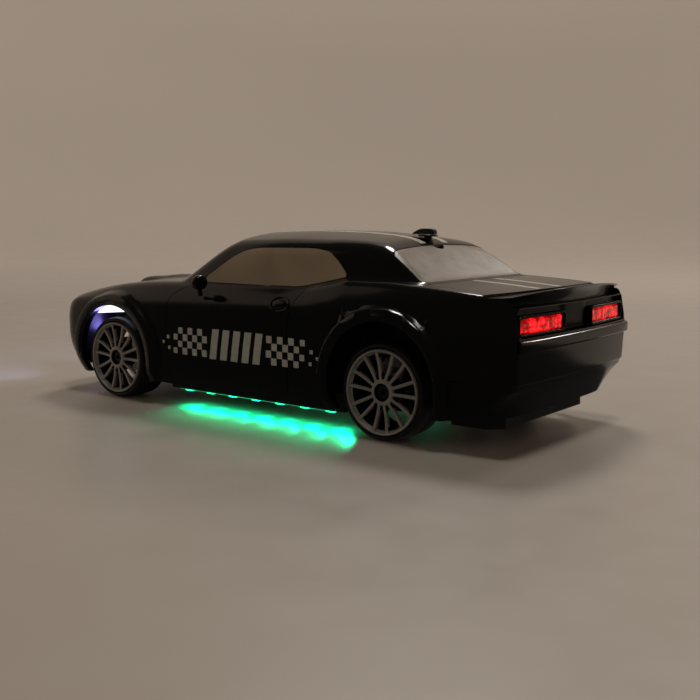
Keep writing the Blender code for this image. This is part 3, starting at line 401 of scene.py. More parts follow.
# ------------------------------------------------------- the body's surface
def pchip(xs, vs):
    xs, vs = np.array(xs, float), np.array(vs, float)
    h = np.diff(xs)
    d = np.diff(vs) / h
    m = np.zeros(len(xs))
    same = d[:-1] * d[1:] > 0
    m[1:-1] = np.where(same, 2 * d[:-1] * d[1:] / np.where(same, d[:-1] + d[1:], 1), 0)
    m[0], m[-1] = d[0], d[-1]

    def f(x):
        x = np.clip(x, xs[0], xs[-1])
        i = np.clip(np.searchsorted(xs, x) - 1, 0, len(xs) - 2)
        t = (x - xs[i]) / h[i]
        return (vs[i] * (1 + 2 * t) * (1 - t) ** 2 + m[i] * h[i] * t * (1 - t) ** 2
                + vs[i + 1] * t * t * (3 - 2 * t) + m[i + 1] * h[i] * t * t * (t - 1))
    return f


def smax(a, b, k):
    h = np.maximum(k - np.abs(a - b), 0) / k
    return np.maximum(a, b) + h * h * k / 4


def smin(a, b, k):
    return -smax(-a, -b, k)


def step(t):
    t = np.clip(t, 0, 1)
    return t * t * (3 - 2 * t)


W_PLAN = pchip([-160, -148, -138, -120, -98, -55, 0, 50, 86, 120, 142, 152, 160],
               [54.8, 56.6, 58.2, 59.3, 59.8, 59.8, 59.9, 60.2, 60.6, 60.2, 59.0, 58.0, 57.2])
TUMBLE = pchip([6, 12, 16, 20, 26, 36, 46, 54, 60, 72],
               [-5.0, -3.4, -2.0, -0.9, -0.3, 0.0, 0.0, -0.4, -1.3, -4.0])
Z_SHOULDER = pchip([-160, -148, -130, -98, -60, 0, 30, 60, 100, 130, 160],
                   [50.0, 51.5, 53.8, 55.6, 56.6, 57.2, 57.8, 60.2, 60.6, 59.4, 58.0])
Z_EDGE = pchip([-160, -150, -140, -128, -115, -98, -75, -55, -20, 20, 36, 50, 62, 80, 100, 120, 138, 160],
               [50.0, 53.0, 56.0, 58.6, 61.0, 63.4, 65.3, 66.0, 66.2, 66.5, 67.7, 70.2, 72.2, 72.2, 71.2, 70.0, 68.5, 66.8])
CROWN = pchip([-160, -120, -98, -60, 0, 100, 160], [0.8, 1.0, 1.4, 2.0, 1.0, 0.6, 0.9])
BULGE = pchip([-160, -122, -103, -60], [4.1, 4.0, 2.3, 1.8])
X_BELT = pchip([-90, -57, -30, 0, 40, 70, 100, 120], [46.5, 49.2, 51.0, 51.8, 51.8, 50.6, 48.2, 46.0])
Z_ROOF = pchip([-80, -60, -45, -30, -10, 15, 40, 60, 76, 95],
               [84.0, 88.0, 90.4, 92.1, 93.4, 94.0, 93.6, 92.2, 89.6, 85.0])
ROOF_CROWN = pchip([-60, 20, 78, 100], [5.6, 5.4, 2.6, 2.0])
SHOULDER_IN = pchip([-160, -98, 0, 60, 100, 132, 160], [9.0, 8.4, 8.0, 8.0, 6.6, 3.8, 2.4])
Y_NOSE = pchip([6, 14, 18, 22, 28, 34, 42, 48, 52, 56, 60, 70],
               [-140, -145, -148, -151.5, -155, -156.3, -156.5, -155.2, -153.4, -150.2, -145.2, -128])
Y_TAIL = pchip([6, 14, 20, 27, 31, 34, 40, 46, 52, 58, 66, 76],
               [143, 147.6, 150.0, 152.8, 154.1, 154.5, 154.8, 155.0, 154.8, 154.0, 153.2, 152.0])
Z_SILL = pchip([-160, -146, -132, -124, -66, 50, 60, 112, 130, 146, 160],
               [17.5, 15.0, 12.6, 12.0, 11.6, 11.6, 12.0, 13.2, 14.5, 16.0, 17.5])
ARCHES = ((-98.0, 24.0, 28.0, 36.6, 2.9, 3.0), (86.0, 25.5, 29.6, 36.4, 2.7, 1.5))


def arch_r(y, z, c):
    dz = z - c[1]
    return np.sqrt((y - c[0]) ** 2 + dz * dz)


def flare(y, z):
    """How far the wheel-arch flares stand out: a raised band with a rounded
    step at its outer edge and a rolled lip at the opening."""
    out = 0.0
    for c in ARCHES:
        r = arch_r(y, z, c)
        band = 1 - step((r - (c[3] - c[5])) / c[5])
        crown = 0.55 * np.sin(np.clip((c[3] - r) / (c[3] - c[2]), 0, 1) * math.pi)
        lip = 0.45 * (1 - step((r - c[2] - 0.4) / 0.9))
        fade = step((z - 11.0) / 6.0)
        out = out + band * (c[4] * (0.55 + 0.45 * fade) + crown - lip)
    return out


def skirt(y, z):
    """The lower crease behind the rear wheels and round the tail."""
    return 0.9 * (1 - step((z - 30.9) / 0.9)) * step((y - 116.0) / 6.0)


def field(x, y, z, fl=True):
    x = np.abs(x)
    w = W_PLAN(y)
    xe = x - flare(y, z) if fl else x
    sk = skirt(y, z) if fl else 0.0
    side = xe + sk - (w + TUMBLE(z))
    zs, ze = Z_SHOULDER(y), Z_EDGE(y)
    h = np.maximum(ze - zs, 1.0)
    inn = SHOULDER_IN(y) - 0.4
    shoulder = ((xe - (w - 0.4)) * h + (z - zs) * inn) / np.sqrt(h * h + inn * inn)
    bulge = BULGE(y) / (1 + np.exp((x - 17) / 0.9)) / (1 + np.exp(-(y + 126) / 0.9)) / (1 + np.exp((y + 84) / 3.0))
    top = z - (ze + CROWN(y) * (1 - (x / 54) ** 2) + bulge)
    nose = (Y_NOSE(z) + 4.2 * (x / 45) ** 2 + 6.0 * (x / 57) ** 8) - y
    tuck = 10.0 * np.clip((29.0 - z) / 14.0, 0, 1.1)
    tail = y + sk - (Y_TAIL(z) - 2.4 * (x / 55) ** 2 - tuck * (x / 55) ** 8)
    low = smax(side, shoulder, 2.0)
    low = smax(low, top, 3.0)
    low = smax(low, nose, 7.0)
    low = smax(low, tail, 4.0)
    glass = ((x - X_BELT(y)) * 21 + (z - 66) * 9) / 22.85
    roof = z - (Z_ROOF(y) - ROOF_CROWN(y) * (x / 42) ** 2)
    screen = ((y - (-68.5 + 12 * (x / 48) ** 2 + 4.0 * (x / 43) ** 3)) * -23.7 + (z - 68.3) * 40) / 46.49
    rear = (y - (101.5 - 1.0 * (x / 46) ** 2)) * 0.5525 + (z - 71.4) * 0.8335
    cab = smax(glass, roof, 6.0)
    cab = smax(cab, screen, 3.0)
    cab = smax(cab, rear, 2.5)
    cab = np.maximum(cab, 61.0 - z)
    return smin(low, cab, 1.5)


def hit(o, d, off=0.0, lo=0.0, hi=140.0, fl=True, n=30):
    a = np.full(o.shape[0], float(lo))
    b = np.full(o.shape[0], float(hi))
    for _ in range(n):
        m = (a + b) / 2
        p = o + d * m[:, None]
        out = field(p[:, 0], p[:, 1], p[:, 2], fl) > -off
        b = np.where(out, m, b)
        a = np.where(out, a, m)
    return o + d * ((a + b) / 2)[:, None]


def gradient(P, e=0.04):
    g = np.zeros_like(P)
    for k in range(3):
        q = P.copy()
        q[:, k] += e
        r = P.copy()
        r[:, k] -= e
        g[:, k] = field(*q.T) - field(*r.T)
    return g / np.maximum(np.linalg.norm(g, axis=1), 1e-9)[:, None]


def side_point(y, z, sgn=1, off=0.0):
    y, z = np.broadcast_arrays(np.asarray(y, float), np.asarray(z, float))
    o = np.stack([np.zeros(y.size), y.ravel(), z.ravel()], 1)
    d = np.tile([float(sgn), 0.0, 0.0], (len(o), 1))
    return hit(o, d, off)


def top_point(x, y, off=0.0, z0=50.0):
    x, y = np.broadcast_arrays(np.asarray(x, float), np.asarray(y, float))
    o = np.stack([x.ravel(), y.ravel(), np.full(x.size, z0)], 1)
    return hit(o, np.tile([0.0, 0.0, 1.0], (len(o), 1)), off, 0, 60)


def spread(stops):
    out = []
    for a, b, n in stops:
        out.append(np.linspace(a, b, n, endpoint=False))
    return np.concatenate(out + [[stops[-1][1]]])


def shell_grid(off, fl):
    ya, yb = -128.0, 132.0
    q = 1.0
    n = lambda k: max(int(k * q), 2)
    ys = spread([(ya - 24, ya, n(26)), (ya, -60, n(84)), (-60, 44, n(52)), (44, 124, n(100)), (124, yb, n(8)), (yb, yb + 20, n(26))])
    us = spread([(-1, -0.80, n(22)), (-0.80, -0.60, n(12)), (-0.60, 0.60, n(40)), (0.60, 0.80, n(12)), (0.80, 1, n(22))])
    loop = []
    for y in ys:
        yo = min(max(y, ya), yb)
        loop.append((0.0, yo, 60.0, y - yo))
    for u in us[::-1][1:-1]:
        loop.append((0.0, yb, u * 54, 20.5))
    for y in ys[::-1]:
        yo = min(max(y, ya), yb)
        loop.append((0.0, yo, -60.0, y - yo))
    for u in us[1:-1]:
        loop.append((0.0, ya, u * 54, -25.0))
    loop = np.array(loop)
    d = np.stack([loop[:, 2], loop[:, 3], np.zeros(len(loop))], 1)
    d /= np.linalg.norm(d, axis=1)[:, None]
    fr = (spread([(11.0, 20.0, n(10)), (20, 30.2, n(9)), (30.2, 32.2, n(8)), (32.2, 53.0, n(20))]) - 11.0) / 42.0
    rows = []
    for k, f in enumerate(fr):
        o = np.stack([loop[:, 0], loop[:, 1], np.full(len(loop), 30.0)], 1)
        zb = Z_SILL(hit(o, d, off, fl=fl)[:, 1]) if k == 0 else Z_SILL(rows[0][:, 1])
        # rows keep their height round the car except close to the sill
        zz = 11.0 + 42.0 * f
        o[:, 2] = zb + (zz - 11.0) * np.where(zz < 26, (26 - zb) / 15.0, 1.0) + np.where(zz < 26, 0, 11.0 - zb)
        rows.append(hit(o, d, off, fl=fl))
    ny, nx = len(ys), len(us)
    top = rows[-1]
    L, T = top[:ny], top[ny:ny + nx - 2]
    R, Nn = top[ny + nx - 2:2 * ny + nx - 2][::-1], top[2 * ny + nx - 2:]
    front = np.concatenate([R[:1], Nn, L[:1]])
    back = np.concatenate([R[-1:], T[::-1], L[-1:]])
    t = (L[:, 1] - L[0, 1]) / (L[-1, 1] - L[0, 1])
    G = np.zeros((ny, nx, 3))
    G[:, :, 0] = us[None, :] * L[:, 0][:, None]
    G[:, :, 1] = (1 - t)[:, None] * front[None, :, 1] + t[:, None] * back[None, :, 1]
    G[0], G[-1] = front, back
    G[:, 0], G[:, -1] = R, L
    inner = G[1:-1, 1:-1].reshape(-1, 3)
    o = np.stack([inner[:, 0], inner[:, 1], np.full(len(inner), 50.0 - off)], 1)
    P = hit(o, np.tile([0.0, 0.0, 1.0], (len(inner), 1)), off, 0.0, 60.0, fl)
    G[1:-1, 1:-1] = P.reshape(ny - 2, nx - 2, 3)
    return rows, G, ny, nx


def shell_solid():
    V, F = [], []
    ends = []
    for off, fl, flip in ((0.0, True, False), (1.5, False, True)):
        rows, G, ny, nx = shell_grid(off, fl)
        base = sum(len(v) for v in V)
        n = len(rows[0])
        V.append(np.concatenate(rows))
        g0 = base + len(rows) * n
        V.append(G[1:-1, 1:-1].reshape(-1, 3))
        tb = base + (len(rows) - 1) * n
        idx = np.zeros((ny, nx), int)
        idx[1:-1, 1:-1] = g0 + np.arange((ny - 2) * (nx - 2)).reshape(ny - 2, nx - 2)
        for j in range(ny):
            idx[j, nx - 1] = tb + j
            idx[j, 0] = tb + ny + nx - 2 + (ny - 1 - j)
        for i in range(1, nx - 1):
            idx[ny - 1, i] = tb + ny + (nx - 2 - i)
            idx[0, i] = tb + 2 * ny + nx - 2 + (i - 1)
        i = np.arange(n)
        for k in range(len(rows) - 1):
            a, b = base + k * n, base + (k + 1) * n
            q = np.stack([a + i, a + (i + 1) % n, b + (i + 1) % n, b + i], 1)
            F += [tuple(f) for f in (q[:, ::-1] if flip else q)]
        q = np.stack([idx[:-1, :-1], idx[:-1, 1:], idx[1:, 1:], idx[1:, :-1]], 2).reshape(-1, 4)
        F += [tuple(f) for f in (q[:, ::-1] if flip else q)]
        ends.append(base)
    i = np.arange(n)
    a, b = ends
    q = np.stack([a + (i + 1) % n, a + i, b + i, b + (i + 1) % n], 1)
    F += [tuple(f) for f in q]
    return np.concatenate(V), F


def field_normals(me, tol=0.12):
    """Corner normals straight from the surface's own formula wherever a face
    lies on the outside, so that cut edges leave no mark in the gloss."""
    nv, nl = len(me.vertices), len(me.loops)
    co = np.zeros(nv * 3)
    me.vertices.foreach_get("co", co)
    co = co.reshape(-1, 3) * 1000
    li = np.zeros(nl, int)
    me.loops.foreach_get("vertex_index", li)
    f = np.abs(field(*co.T))
    g = gradient(co)
    nrm = np.array([tuple(n.vector) for n in me.corner_normals])
    pn = np.zeros(len(me.polygons) * 3)
    me.polygons.foreach_get("normal", pn)
    pn = pn.reshape(-1, 3)
    ls, lt = np.zeros(len(me.polygons), int), np.zeros(len(me.polygons), int)
    me.polygons.foreach_get("loop_start", ls)
    me.polygons.foreach_get("loop_total", lt)
    poly = np.repeat(np.arange(len(ls)), lt)
    on = f[li] < tol
    bad = np.zeros(len(ls), int)
    np.add.at(bad, poly, (~on).astype(int))
    ok = (bad == 0)[poly] & ((g[li] * pn[poly]).sum(1) > 0.55)
    nrm[ok] = g[li][ok]
    me.normals_split_custom_set(nrm.tolist())


def groove(P, width=0.5, depth=0.7):
    """Closed tool that follows surface points P."""
    P = np.asarray(P, float)
    N = gradient(P)
    T = np.gradient(P, axis=0)
    T /= np.linalg.norm(T, axis=1)[:, None]
    B = np.cross(T, N)
    B /= np.linalg.norm(B, axis=1)[:, None]
    rings = []
    for p, n, b in zip(P, N, B):
        rings.append(np.array([p + b * width / 2 + n * 0.5, p - b * width / 2 + n * 0.5,
                               p - b * width * 0.32 - n * depth, p + b * width * 0.32 - n * depth]))
    return loft(rings)


def arc(y0, z0, r, a0, a1, n):
    a = np.radians(np.linspace(a0, a1, n))
    return [(y0 + r * math.cos(t), z0 + r * math.sin(t)) for t in a]


SIDE_LOW = pchip([-40, 28, 40, 58], [66.9, 67.5, 69.3, 73.2])
SIDE_HIGH = pchip([-40, -33, -20, -9, 0, 30, 42, 49, 54, 57, 58],
                  [66.9, 71.5, 80.0, 84.6, 85.6, 86.0, 85.0, 81.4, 77.4, 74.6, 73.6])


def side_outline(grow, n=60):
    t = np.linspace(0, 1, n)
    ys = -35.0 - grow + (92.0 + 2 * grow) * (0.35 * t + 0.65 * (1 - np.cos(t * math.pi)) / 2)
    lo = SIDE_LOW(ys) - grow
    hi = np.maximum(SIDE_HIGH(ys) + grow, lo + 0.9)
    return ys, lo, hi


def smooth_line(pts, n):
    pts = np.array(pts, float)
    s = np.concatenate([[0], np.cumsum(np.linalg.norm(np.diff(pts, axis=0), axis=1))])
    f = [pchip(s, pts[:, k]) for k in range(pts.shape[1])]
    t = np.linspace(0, s[-1], n)
    return np.stack([g(t) for g in f], 1)


def screen_half(y):
    return np.interp(y, [-66, -29], [44.8, 37.8])


def rear_half(y):
    return np.interp(y, [74, 101], [40.2, 45.4])


def screen_bow(x, f):
    return 12 * (x / 48) ** 2 * (1 - f) + 4.0 * (x / 40) ** 2 * f + (6.3 - 2.6 * f) * abs(x / 43) ** 3


def rear_bow(x, f):
    return 1.5 * (x / 40) ** 2 * (1 - f) - 1.0 * (x / 46) ** 2 * f


def plan_outline(y0, y1, half, bow, grow, rad, n=40):
    """Rounded four-sided outline in plan."""
    hw0, hw1 = float(half(y0)) + grow, float(half(y1)) + grow
    c = [(-hw0, y0 - grow), (hw0, y0 - grow), (hw1, y1 + grow), (-hw1, y1 + grow)]
    pts = []
    for k in range(4):
        p, a, b = np.array(c[k]), np.array(c[k - 1]), np.array(c[(k + 1) % 4])
        u = (a - p) / np.linalg.norm(a - p)
        v = (b - p) / np.linalg.norm(b - p)
        for t in np.linspace(0, 1, 9):
            pts.append(p + u * rad * (1 - t) ** 2 + v * rad * t ** 2)
        m = n if k % 2 == 0 else 16
        e = b + (p - b) / np.linalg.norm(p - b) * rad
        s = p + v * rad
        for t in np.linspace(0, 1, m)[1:-1]:
            pts.append(s + (e - s) * t)
    out = []
    for x, y in pts:
        f = min(max((y - y0) / (y1 - y0), 0), 1)
        out.append((x, y + bow(x, f)))
    return out


def rounded_rect(x0, x1, z0, z1, r, n=7):
    out = []
    for cx, cz, a0 in ((x1 - r, z1 - r, 0), (x0 + r, z1 - r, 90), (x0 + r, z0 + r, 180), (x1 - r, z0 + r, 270)):
        out += arc(cx, cz, r, a0, a0 + 90, n)
    return out


def bow_n(x):
    return 4.2 * (x / 45) ** 2 + 6.0 * (x / 57) ** 8


def bow_t(x):
    return -2.4 * (x / 55) ** 2


# panel lines: (y, z) on the sides, (x, y) on top
DOOR_FRONT = smooth_line([(-54.0, 15.0), (-54.8, 30), (-55.2, 45), (-55.0, 54), (-52.6, 60.0), (-47.0, 63.6), (-40.5, 65.9)], 60)
DOOR_REAR = smooth_line([(29.5, 15.0), (29.8, 30), (30.2, 48), (31.4, 57), (33.6, 62.5), (36.0, 66.6)], 50)


def build_shell():
    ob = put("body_shell_visual", mesh("body_shell_visual", *shell_solid(), smooth=False), M["body"], None)
    tools = []
    for sgn in (1, -1):
        for c in ARCHES:
            y0, z0, r = c[:3]
            lip = math.degrees(math.asin((z0 - 11.0) / r))
            round_part = arc(y0, z0, r, -lip, 180 + lip, 56)
            pts = [(round_part[0][0], -4.0)] + round_part + [(round_part[-1][0], -4.0)]
            tools.append(prism(pts, 38 * sgn, 70 * sgn, 'YZ'))
        ys, lo, hi = side_outline(0.25)
        tools.append(prism(list(zip(ys, lo)) + list(zip(ys[::-1], hi[::-1])), 36 * sgn, 62 * sgn, 'YZ'))
        for line in (DOOR_FRONT, DOOR_REAR):
            tools.append(groove(side_point(line[:, 0], line[:, 1], sgn)))
        tools.append(groove(top_point(*smooth_line([(44.0, -69.5), (43.6, -90), (42.0, -118), (38.5, -146)], 60).T * np.array([[sgn], [1]]))))
        tools.append(groove(top_point(*smooth_line([(47.2, 103.2), (47.4, 112), (47.0, 137.5)], 30).T * np.array([[sgn], [1]]))))
    x = np.linspace(-46.8, 46.8, 60)
    tools.append(groove(top_point(x, 103.0 - 1.0 * (x / 46) ** 2)))
    x = np.linspace(-38.3, 38.3, 50)
    tools.append(groove(top_point(x, -146.2 + 2.6 * (x / 38.3) ** 2)))
    tools.append(prism(plan_outline(-64.5, -28.7, screen_half, screen_bow, 0.35, 3.0), 50, 110, 'XY'))
    tools.append(prism(plan_outline(77.1, 100.3, rear_half, rear_bow, 0.35, 3.0), 50, 110, 'XY'))
    V, F = turned([(70, 0.01), (70, 2.5), (104, 2.5), (104, 0.01)], 32)
    tools.append((np.stack([V[:, 1], V[:, 2] + 71.5, V[:, 0]], 1), F))
    tools.append(prism(rounded_rect(-51, 51, 38.5, 50.3, 3.0), -170, -143.7, 'XZ'))
    tools.append(prism(rounded_rect(-54.2, 54.2, 51.2, 63.4, 2.6), 146.0, 170, 'XZ'))
    xs = np.linspace(-54.9, 54.9, 41)
    tools.append(loft([np.array([(x, 139.6 - 5.2 * (x / 55) ** 2, 63.8), (x, 175, 63.8), (x, 175, 90),
                                 (x, 139.6 - 5.2 * (x / 55) ** 2, 90)]) for x in xs]))
    # the deck's corners end behind the spoiler's ends
    tools += [box_vf(54.4, 72, 146.5, 175, 66.3, 90), box_vf(-72, -54.4, 146.5, 175, 66.3, 90)]
    # lower intake in the nose
    tools.append(prism(rounded_rect(-34, 34, 24.5, 30.5, 2.4), -170, -152.0, 'XZ'))
    boolean(ob, tools)
    sharpen(ob.data, 30)
    field_normals(ob.data)
    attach(ob, "shell")
    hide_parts("body_shell")
    return ob


build_shell()


# --------------------------------------------------------------- windows
def sheet_from(O, D, off, thick, name, mat, node):
    """Curved plate under the body surface from a grid of ray origins."""
    nj, ni = O.shape[:2]
    o = O.reshape(-1, 3)
    d = np.tile(np.array(D, float), (len(o), 1))
    a = hit(o, d, off).reshape(nj, ni, 3)
    b = hit(o, d, off + thick).reshape(nj, ni, 3)
    V = np.concatenate([a.reshape(-1, 3), b.reshape(-1, 3)])
    n = nj * ni
    F = []
    for j in range(nj - 1):
        for i in range(ni - 1):
            q = (j * ni + i, j * ni + i + 1, (j + 1) * ni + i + 1, (j + 1) * ni + i)
            F.append(q)
            F.append(tuple(n + k for k in q[::-1]))
    ring = ([(0, i) for i in range(ni)] + [(j, ni - 1) for j in range(1, nj)]
            + [(nj - 1, i) for i in range(ni - 2, -1, -1)] + [(j, 0) for j in range(nj - 2, 0, -1)])
    ids = [j * ni + i for j, i in ring]
    for k in range(len(ids)):
        p, q = ids[k], ids[(k + 1) % len(ids)]
        F.append((p, n + p, n + q, q))
    return put(name, mesh(name, V, F, 40), mat, "shell", (node,))


def windows():
    for sgn, side in ((1, "left"), (-1, "right")):
        ys, lo, hi = side_outline(-0.12, 80)
        f = np.linspace(0, 1, 26)
        O = np.array([[(0.0, y, l + (h - l) * g) for y, l, h in zip(ys, lo, hi)] for g in f])
        sheet_from(O, (sgn, 0, 0), 0.22, 1.0, "side_window_%s_pane" % side, M["side_glass"], "side_window_" + side)
    for name, node, y0, y1, half, bow in (("windscreen_pane", "windscreen", -64.5, -28.7, screen_half, screen_bow),
                                          ("rear_window_pane", "rear_window", 77.1, 100.3, rear_half, rear_bow)):
        rows = []
        for j in range(26):
            f = j / 25
            y = y0 + (y1 - y0) * f
            # round the corners by pulling in the ends of the first and last rows
            e = min(f, 1 - f) * (y1 - y0)
            pull = 3.0 - math.sqrt(max(9.0 - max(3.0 - e, 0) ** 2, 0)) if e < 3.0 else 0.0
            hw = float(half(y)) - pull
            rows.append([(hw * u, y + bow(hw * u, f), 55.0) for u in np.linspace(-1, 1, 60)])
        ob = sheet_from(np.array(rows), (0, 0, 1), 0.22, 1.0, name, M["rear_glass"], node)
        if node == "rear_window":
            V, F = turned([(60, 0.01), (60, 6.2), (104, 6.2), (104, 0.01)], 48)
            boolean(ob, [(np.stack([V[:, 1], V[:, 2] + 73.5, V[:, 0]], 1), F)])
            sharpen(ob.data, 40)


windows()


# --------------------------------------------------- stripes and side graphics
def on_surface(kind, pts, sgn=1, lift=0.05):
    """Thin raised patch whose outline follows the body surface."""
    pts = np.array(pts, float)
    if kind == 'side':
        a = side_point(pts[:, 0], pts[:, 1], sgn, -lift)
        b = side_point(pts[:, 0], pts[:, 1], sgn, 0.06)
    else:
        a = top_point(pts[:, 0], pts[:, 1], -lift)
        b = top_point(pts[:, 0], pts[:, 1], 0.06)
    return loft([b, a])


def ribbon(x0, x1, y0, y1, n):
    """Stripe between x0 and x1 along the top of the body."""
    ys = np.linspace(y0, y1, n)
    xs = np.linspace(x0, x1, 5)
    X, Y = np.meshgrid(xs, ys)
    a = top_point(X, Y, -0.05).reshape(n, 5, 3)
    b = top_point(X, Y, 0.06).reshape(n, 5, 3)
    V = np.concatenate([a.reshape(-1, 3), b.reshape(-1, 3)])
    m = n * 5
    F = []
    for j in range(n - 1):
        for i in range(4):
            q = (j * 5 + i, j * 5 + i + 1, (j + 1) * 5 + i + 1, (j + 1) * 5 + i)
            F += [q, tuple(m + k for k in q[::-1])]
        for i in (0, 4):
            F.append((j * 5 + i, m + j * 5 + i, m + (j + 1) * 5 + i, (j + 1) * 5 + i))
    for j in (0, n - 1):
        for i in range(4):
            F.append((j * 5 + i, j * 5 + i + 1, m + j * 5 + i + 1, m + j * 5 + i))
    return V, F


def side_strip(ya, yb, zs, sgn, lift=0.05, depth=0.15):
    """A slanted bar on the side wall, cut into short steps up the wall."""
    V, F = [], []
    for off in (lift, -depth):
        for y in (ya, (ya + yb) / 2, yb):
            P = side_point(np.asarray(y, float), np.asarray(zs, float), 1)
            P = P + gradient(P) * off
            P[:, 0] *= sgn
            V.append(P)
    n = len(zs)
    V = np.concatenate(V)
    at = lambda layer, col, row: (layer * 3 + col) * n + row
    for layer in (0, 1):
        for c in (0, 1):
            for k in range(n - 1):
                q = (at(layer, c, k), at(layer, c + 1, k), at(layer, c + 1, k + 1), at(layer, c, k + 1))
                F.append(q if (layer == 0) == (sgn > 0) else q[::-1])
    loop = [at(0, 0, 0), at(0, 1, 0)] + [at(0, 2, k) for k in range(n)] + [at(0, 1, n - 1)] + [at(0, 0, k) for k in range(n - 1, 0, -1)]
    m = len(loop)
    for k in range(m):
        a, b = loop[k], loop[(k + 1) % m]
        q = (a, a + 3 * n, b + 3 * n, b)
        F.append(q if sgn > 0 else q[::-1])
    return V, F


def graphics():
    parts = []
    for s in (1, -1):
        a, b = sorted((7.6 * s, 12.4 * s))
        parts += [ribbon(a, b, -145.0, -70.2, 70), ribbon(a, b, -27.6, 75.4, 90), ribbon(a, b, 104.0, 138.6, 40)]
    put("top_stripes", mesh("top_stripes", *merge(parts), 40), M["stripe"], "shell")
    c = 3.6
    z0 = 29.0
    for sgn, side in ((1, "left"), (-1, "right")):
        parts = []

        def cell(y, z, s=c * 0.98):
            r = 0.07 * s
            q = [(y - s / 2 + r, z - s / 2), (y + s / 2 - r, z - s / 2), (y + s / 2, z - s / 2 + r), (y + s / 2, z + s / 2 - r),
                 (y + s / 2 - r, z + s / 2), (y - s / 2 + r, z + s / 2), (y - s / 2, z + s / 2 - r), (y - s / 2, z - s / 2 + r)]
            parts.append(on_surface('side', q, sgn))
        # four rows of chequers; every other row starts half a pair later
        for y0, d, odd in ((-24.6, -1, 0), (16.6, 1, 1)):
            for i in range(7):
                for j in range(4):
                    if (i + j + odd) % 2 == 0:
                        cell(y0 + d * (i * c + c / 2) + 0.05 * (j - 1.5) * c, z0 + (j + 0.5) * c, c * (0.99 if i < 5 else 1.14 - 0.05 * i))
            for i, j, q in ((7.4, 0.3, 0.5), (7.6, 1.9, 0.55), (8.6, 1.1, 0.42)):
                cell(y0 + d * (i * c + c / 2), z0 + (j + 0.5) * c, c * q)
        for k in range(5):
            y = -21.6 + k * 7.55
            w, t = 4.7, 1.3
            zs = np.linspace(z0 - 0.6, z0 + 4 * c + 0.6, 13)
            f = (zs - zs[0]) / (zs[-1] - zs[0])
            parts.append(side_strip(y - t + 2 * t * f, y - t + w + 2 * t * f, zs, sgn))
        put("side_graphic_" + side, mesh("side_graphic_" + side, *merge(parts), 40), M["decal"], "shell")


graphics()


# ----------------------------------------------------------------- wheels
def rim_parts():
    ring = turned([(40.1, 17.6), (40.1, 19.8), (58.6, 19.8), (59.35, 19.75), (59.75, 19.5), (59.8, 19.1), (59.6, 18.75),
                   (59.2, 18.55), (58.6, 18.45), (58.0, 18.2), (57.4, 17.7), (50.0, 17.3), (41.5, 17.2)], 112)
    hub = turned([(54.2, 2.35), (54.2, 3.95), (58.6, 3.98), (58.95, 4.2), (59.05, 4.6), (59.05, 5.2), (58.85, 5.8),
                  (58.4, 6.1), (57.6, 6.2), (50.0, 6.2), (50.0, 2.35)], 80)
    spokes = []
    for i in range(7):
        for s in (-1, 1):
            ang = 2 * math.pi * (i + 0.184) / 7
            rings = []
            for t in np.linspace(0, 1, 9):
                r = 5.2 + (18.9 - 5.2) * t
                base = s * (1.25 + 2.65 * t)
                hw = 0.76 + 0.06 * t + 0.5 * max(t - 0.86, 0) / 0.14 * 0.6
                xf = 58.85 - 0.75 * math.sin(math.pi * min(t * 1.05, 1)) * 0.8
                xb = 56.4
                sec = [(xb, base - hw), (xf - 0.32, base - hw), (xf, base - hw + 0.34), (xf + 0.05, base),
                       (xf, base + hw - 0.34), (xf - 0.32, base + hw), (xb, base + hw)]
                ca, sa = math.cos(ang), math.sin(ang)
                rings.append(np.array([(x, r * ca - b * sa, r * sa + b * ca) for x, b in sec]))
            spokes.append(loft(rings))
    return ring, hub, spokes


def placed(vf, sgn, yc):
    V, F = vf
    V = np.array(V, float)
    V = np.stack([V[:, 0] * sgn, V[:, 1] + yc, V[:, 2] + HUB_Z], 1)
    return V, ([f[::-1] for f in F] if sgn < 0 else F)


